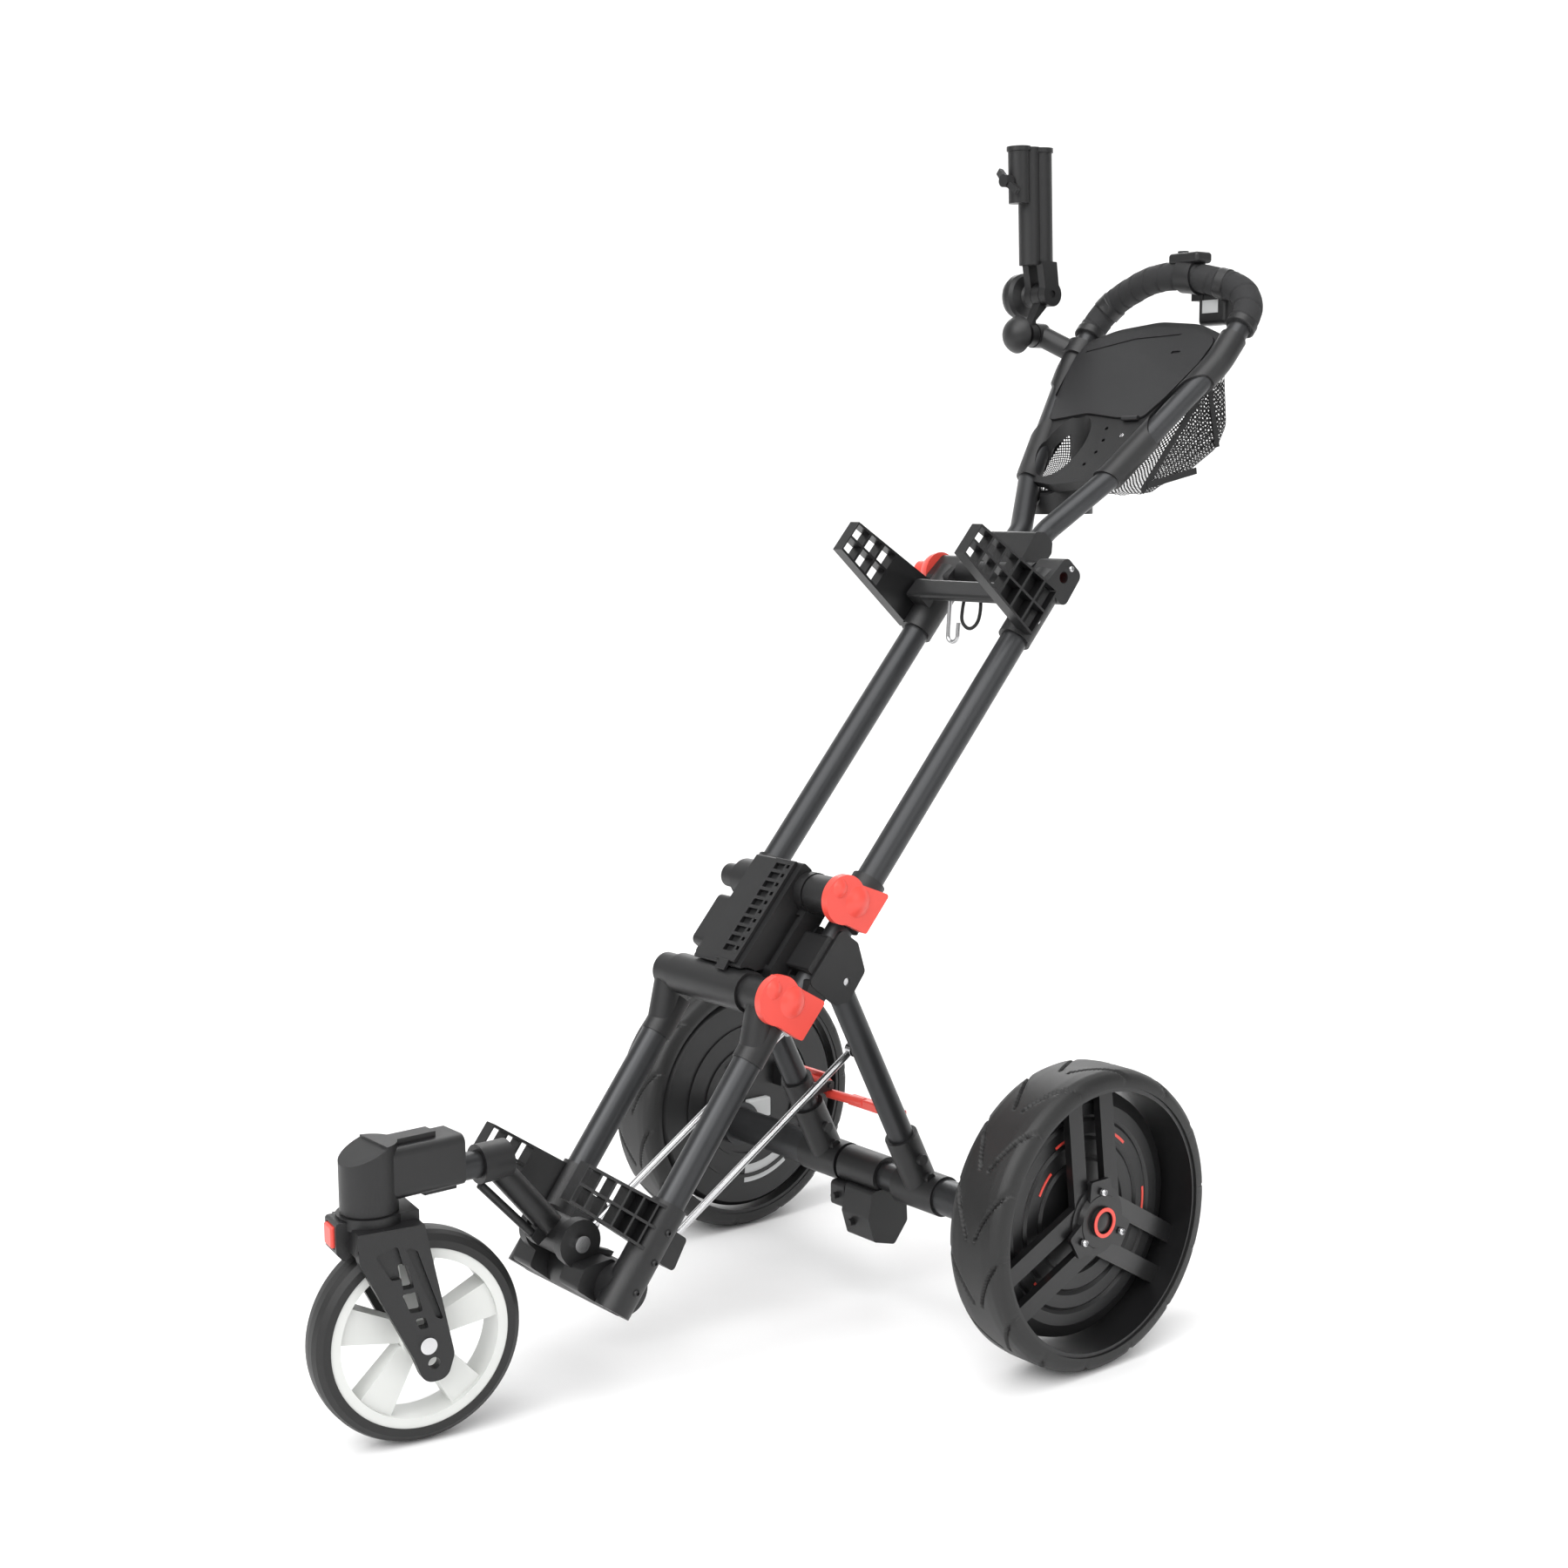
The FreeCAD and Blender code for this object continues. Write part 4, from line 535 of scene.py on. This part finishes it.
def net_section(along, across):
    """The net's outline at one place along the tray: down a side, over the bottom and up again."""
    depth = NET_TOP - across
    rounding = min(16.0, 0.6 * depth)
    half = []
    for k in range(9):
        half.append((NET_HALF - 1.5 * math.sin(math.pi * k / 8), NET_TOP - (depth - rounding) * k / 8))
    for k in range(1, 9):
        a = math.radians(90 * k / 8)
        half.append((NET_HALF - rounding * (1 - math.cos(a)), across + rounding * (1 - math.sin(a))))
    for k in range(1, 17):
        x = (NET_HALF - rounding) * (1 - k / 16)
        half.append((x, across + 1.5 * math.sin(x * 0.19 + along * 0.05)))
    return half + [(-x, n) for x, n in reversed(half[:-1])]


def net_bag():
    """The net hung from the tray's rim, open at its upper end."""
    outline = evenly(rounded([Vector((*p, 0)) for p in NET_SIDE], (14, 30, 30, 16)), NET_ROW)
    rows = [net_section(p.x, min(p.y, NET_TOP - 1.0)) for p in outline]
    points = []
    for p, row in zip(outline, rows):
        for x, n in row:
            points.append(on_tray(x, p.x, n))
    columns = len(rows[0])
    bag = piece("net_bag", points, grid_faces(len(rows), columns, False, False), "net", "handle")
    uv = bag.data.uv_layers.new(name="UVMap")
    around = [0.0]
    middle = rows[len(rows) // 2]
    for a, b in zip(middle, middle[1:]):
        around.append(around[-1] + math.dist(a, b))
    for loop in bag.data.loops:
        row, column = divmod(loop.vertex_index, columns)
        uv.data[loop.index].uv = (around[column] * math.pi / NET_PITCH,
                                  row * NET_ROW * math.pi / NET_PITCH)
    trims = [strap("net_top_strap", [on_tray(84.2, 164, -34), on_tray(84.2, 125, -90)]),
             strap("net_low_strap", [on_tray(84.2, 20, -34), on_tray(84.2, 84, -82)])]
    for side in SIDES:
        trims.append(strap(f"net_{SIDE_NAME[side]}_trim", [on_tray(side * 83.6, along, -33)
                                                           for along in (10, 100, 186)]))
    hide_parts("basket")


def strap(name, path):
    """Flat webbing along a side of the net."""
    trail = (path[-1] - path[0]).normalized()
    width = trail.cross(Vector((1, 0, 0))).normalized() * 0.0035
    thickness = Vector((math.copysign(0.0006, path[0].x), 0, 0))
    points = []
    for centre in path:
        points += [centre - width, centre + width, centre + width + thickness, centre - width + thickness]
    faces = grid_faces(len(path), 4, False, True)
    faces.append((0, 1, 2, 3))
    faces.append(tuple(4 * (len(path) - 1) + k for k in range(4)))
    return piece(name, points, faces, "cord", "handle", smooth=False)


# ---------------------------------------------------------------- bag cord
def cord_bends(points):
    """As large an arc at each corner as its two runs allow."""
    bends = []
    for before, corner, after in zip(points, points[1:], points[2:]):
        turn = (corner - before).angle(after - corner)
        shorter = min((corner - before).length, (after - corner).length)
        bends.append(0.45 * shorter / math.tan(turn / 2))
    return bends


def bag_cord():
    points = [at(*p) for p in CORD_ROUTE]
    path = rounded(points, cord_bends(points), 12)
    curve = bpy.data.curves.new("elastic_cord", "CURVE")
    curve.dimensions = "3D"
    curve.bevel_depth = CORD_R / 1000
    curve.bevel_resolution = 5
    curve.use_fill_caps = True
    line = curve.splines.new("POLY")
    line.points.add(len(path) - 1)
    for spot, p in zip(line.points, path):
        spot.co = (*p, 1)
    curve.materials.append(FINISHES["cord"])
    obj = bpy.data.objects.new("elastic_cord", curve)
    bpy.context.scene.collection.objects.link(obj)
    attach(obj, "upper_frame")
    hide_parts("bungee_cord")


# ---------------------------------------------------------------- small fittings
def frame_screws():
    """Screws on the sleeves of the bag bracket and the base, on both sides."""
    for side in SIDES:
        name = SIDE_NAME[side]
        outward = (side, 0, 0)
        for k, (along, across) in enumerate(((106, -2), (68, 2), (36, 1))):
            centre = at(side * 90.2, *step(UPPER_TOP, SLOPE, along, across))
            screw(f"{name}_bracket_screw_{k}", centre, outward, 3.2, "upper_frame")
        for k, (along, across) in enumerate(((-187, 0), (-216, -3), (-247, -1))):
            centre = at(side * 90.2, *step(LOWER_START, LOWER_SLOPE, along, across))
            screw(f"{name}_base_screw_{k}", centre, outward, 3.2, "lower_frame", "black_plastic")


def console_details():
    """Two bright ball-marker studs and the handset's blank label."""
    for k, x in enumerate(MARKER_STUDS):
        centre = on_tray(x, 60.5, -1.6)
        normal = on_tray(x, 60.5, 0) - centre
        turned(f"marker_stud_{k}", centre, normal, [(0, 2.9), (1.6, 2.6), (2.0, 1.6)], "bearing_steel",
               "handle", 18)
    block("handset_label", at(46, 424.9, 1021), (22, 0.6, 14), "label_white", "handle", 0.2)


# ---------------------------------------------------------------- surroundings
FLOOR_NEAR = -14.0      # metres, along the floor from the trolley
FLOOR_FAR = 6.0
FLOOR_CURVE = 4.0
FLOOR_HALF = 20.0
BACKDROP_TOP = 14.0
FLOOR_DROP = 0.0005     # keeps the tyres clear of it
FLOOR_YAW = 50.9


def studio_floor():
    """Pale floor that curves up into a backdrop."""
    profile = [(FLOOR_NEAR, 0.0), (FLOOR_FAR, 0.0)]
    for k in range(1, 13):
        a = math.radians(90 * k / 12)
        profile.append((FLOOR_FAR + FLOOR_CURVE * math.sin(a), FLOOR_CURVE * (1 - math.cos(a))))
    profile.append((FLOOR_FAR + FLOOR_CURVE, BACKDROP_TOP))
    facing = Matrix.Rotation(math.radians(FLOOR_YAW), 3, "Z")
    points = []
    for y, z in profile:
        for x in (-FLOOR_HALF, FLOOR_HALF):
            points.append(facing @ Vector((x, y, z - FLOOR_DROP)))
    mesh = bpy.data.meshes.new("studio_floor")
    mesh.from_pydata([tuple(p) for p in points], [], grid_faces(len(profile), 2, False, False))
    mesh.shade_smooth()
    paper = textured("backdrop_paper", (0.93, 0.93, 0.93), 0.9, grain=60, mottle=0.01)
    mesh.materials.append(paper)
    obj = bpy.data.objects.new("studio_floor", mesh)
    bpy.context.scene.collection.objects.link(obj)


def softbox(name, place, size, power):
    """An area light that faces the trolley."""
    light = bpy.data.lights.new(name, "AREA")
    light.shape = "DISK"
    light.size = size
    light.energy = power
    obj = bpy.data.objects.new(name, light)
    obj.location = place
    obj.rotation_mode = "QUATERNION"
    obj.rotation_quaternion = (Vector((0, 0, 0.5)) - Vector(place)).to_track_quat("-Z", "Y")
    bpy.context.scene.collection.objects.link(obj)


def even_light():
    """A wide sun that keeps floor and backdrop equally bright."""
    sun = bpy.data.lights.new("even_light", "SUN")
    sun.energy = 2.5
    sun.angle = math.radians(70)
    obj = bpy.data.objects.new("even_light", sun)
    obj.rotation_euler = (math.radians(42), 0, math.radians(30))
    bpy.context.scene.collection.objects.link(obj)


def studio_light():
    softbox("key", (0.2, -3.4, 2.8), 2.4, 45)
    softbox("fill", (3.6, 0.6, 1.6), 2.4, 20)
    softbox("back", (-2.6, 2.6, 2.8), 2.0, 45)
    softbox("top", (0.4, 0.2, 3.6), 3.0, 30)
    even_light()
    world = bpy.data.worlds.new("studio")
    world.use_nodes = True
    world.node_tree.nodes["Background"].inputs["Color"].default_value = (1, 1, 1, 1)
    world.node_tree.nodes["Background"].inputs["Strength"].default_value = 0.38
    bpy.context.scene.world = world
    bpy.context.scene.view_settings.view_transform = "Standard"


def camera():
    """Eye-height view from the front left, as the trolley is shown in the photograph."""
    yaw, pitch, roll = (math.radians(a) for a in (CAMERA_YAW, CAMERA_PITCH, CAMERA_ROLL))
    back = Vector((math.sin(yaw) * math.cos(pitch), -math.cos(yaw) * math.cos(pitch), math.sin(pitch)))
    right = Vector((math.cos(yaw), math.sin(yaw), 0))
    up = back.cross(right)
    axes = Matrix((math.cos(roll) * right + math.sin(roll) * up,
                   math.cos(roll) * up - math.sin(roll) * right, back))
    data = bpy.data.cameras.new("camera")
    data.sensor_width = 36
    data.lens = LENS
    obj = bpy.data.objects.new("camera", data)
    obj.matrix_world = Matrix.Translation(at(*CAMERA_SPOT)) @ axes.transposed().to_4x4()
    bpy.context.scene.collection.objects.link(obj)
    bpy.context.scene.camera = obj


paint_cad()
for wheel_side in SIDES:
    rear_tyre(wheel_side)
    wheel_details(wheel_side)
handle_grip()
net_bag()
bag_cord()
frame_screws()
console_details()
studio_floor()
studio_light()
camera()
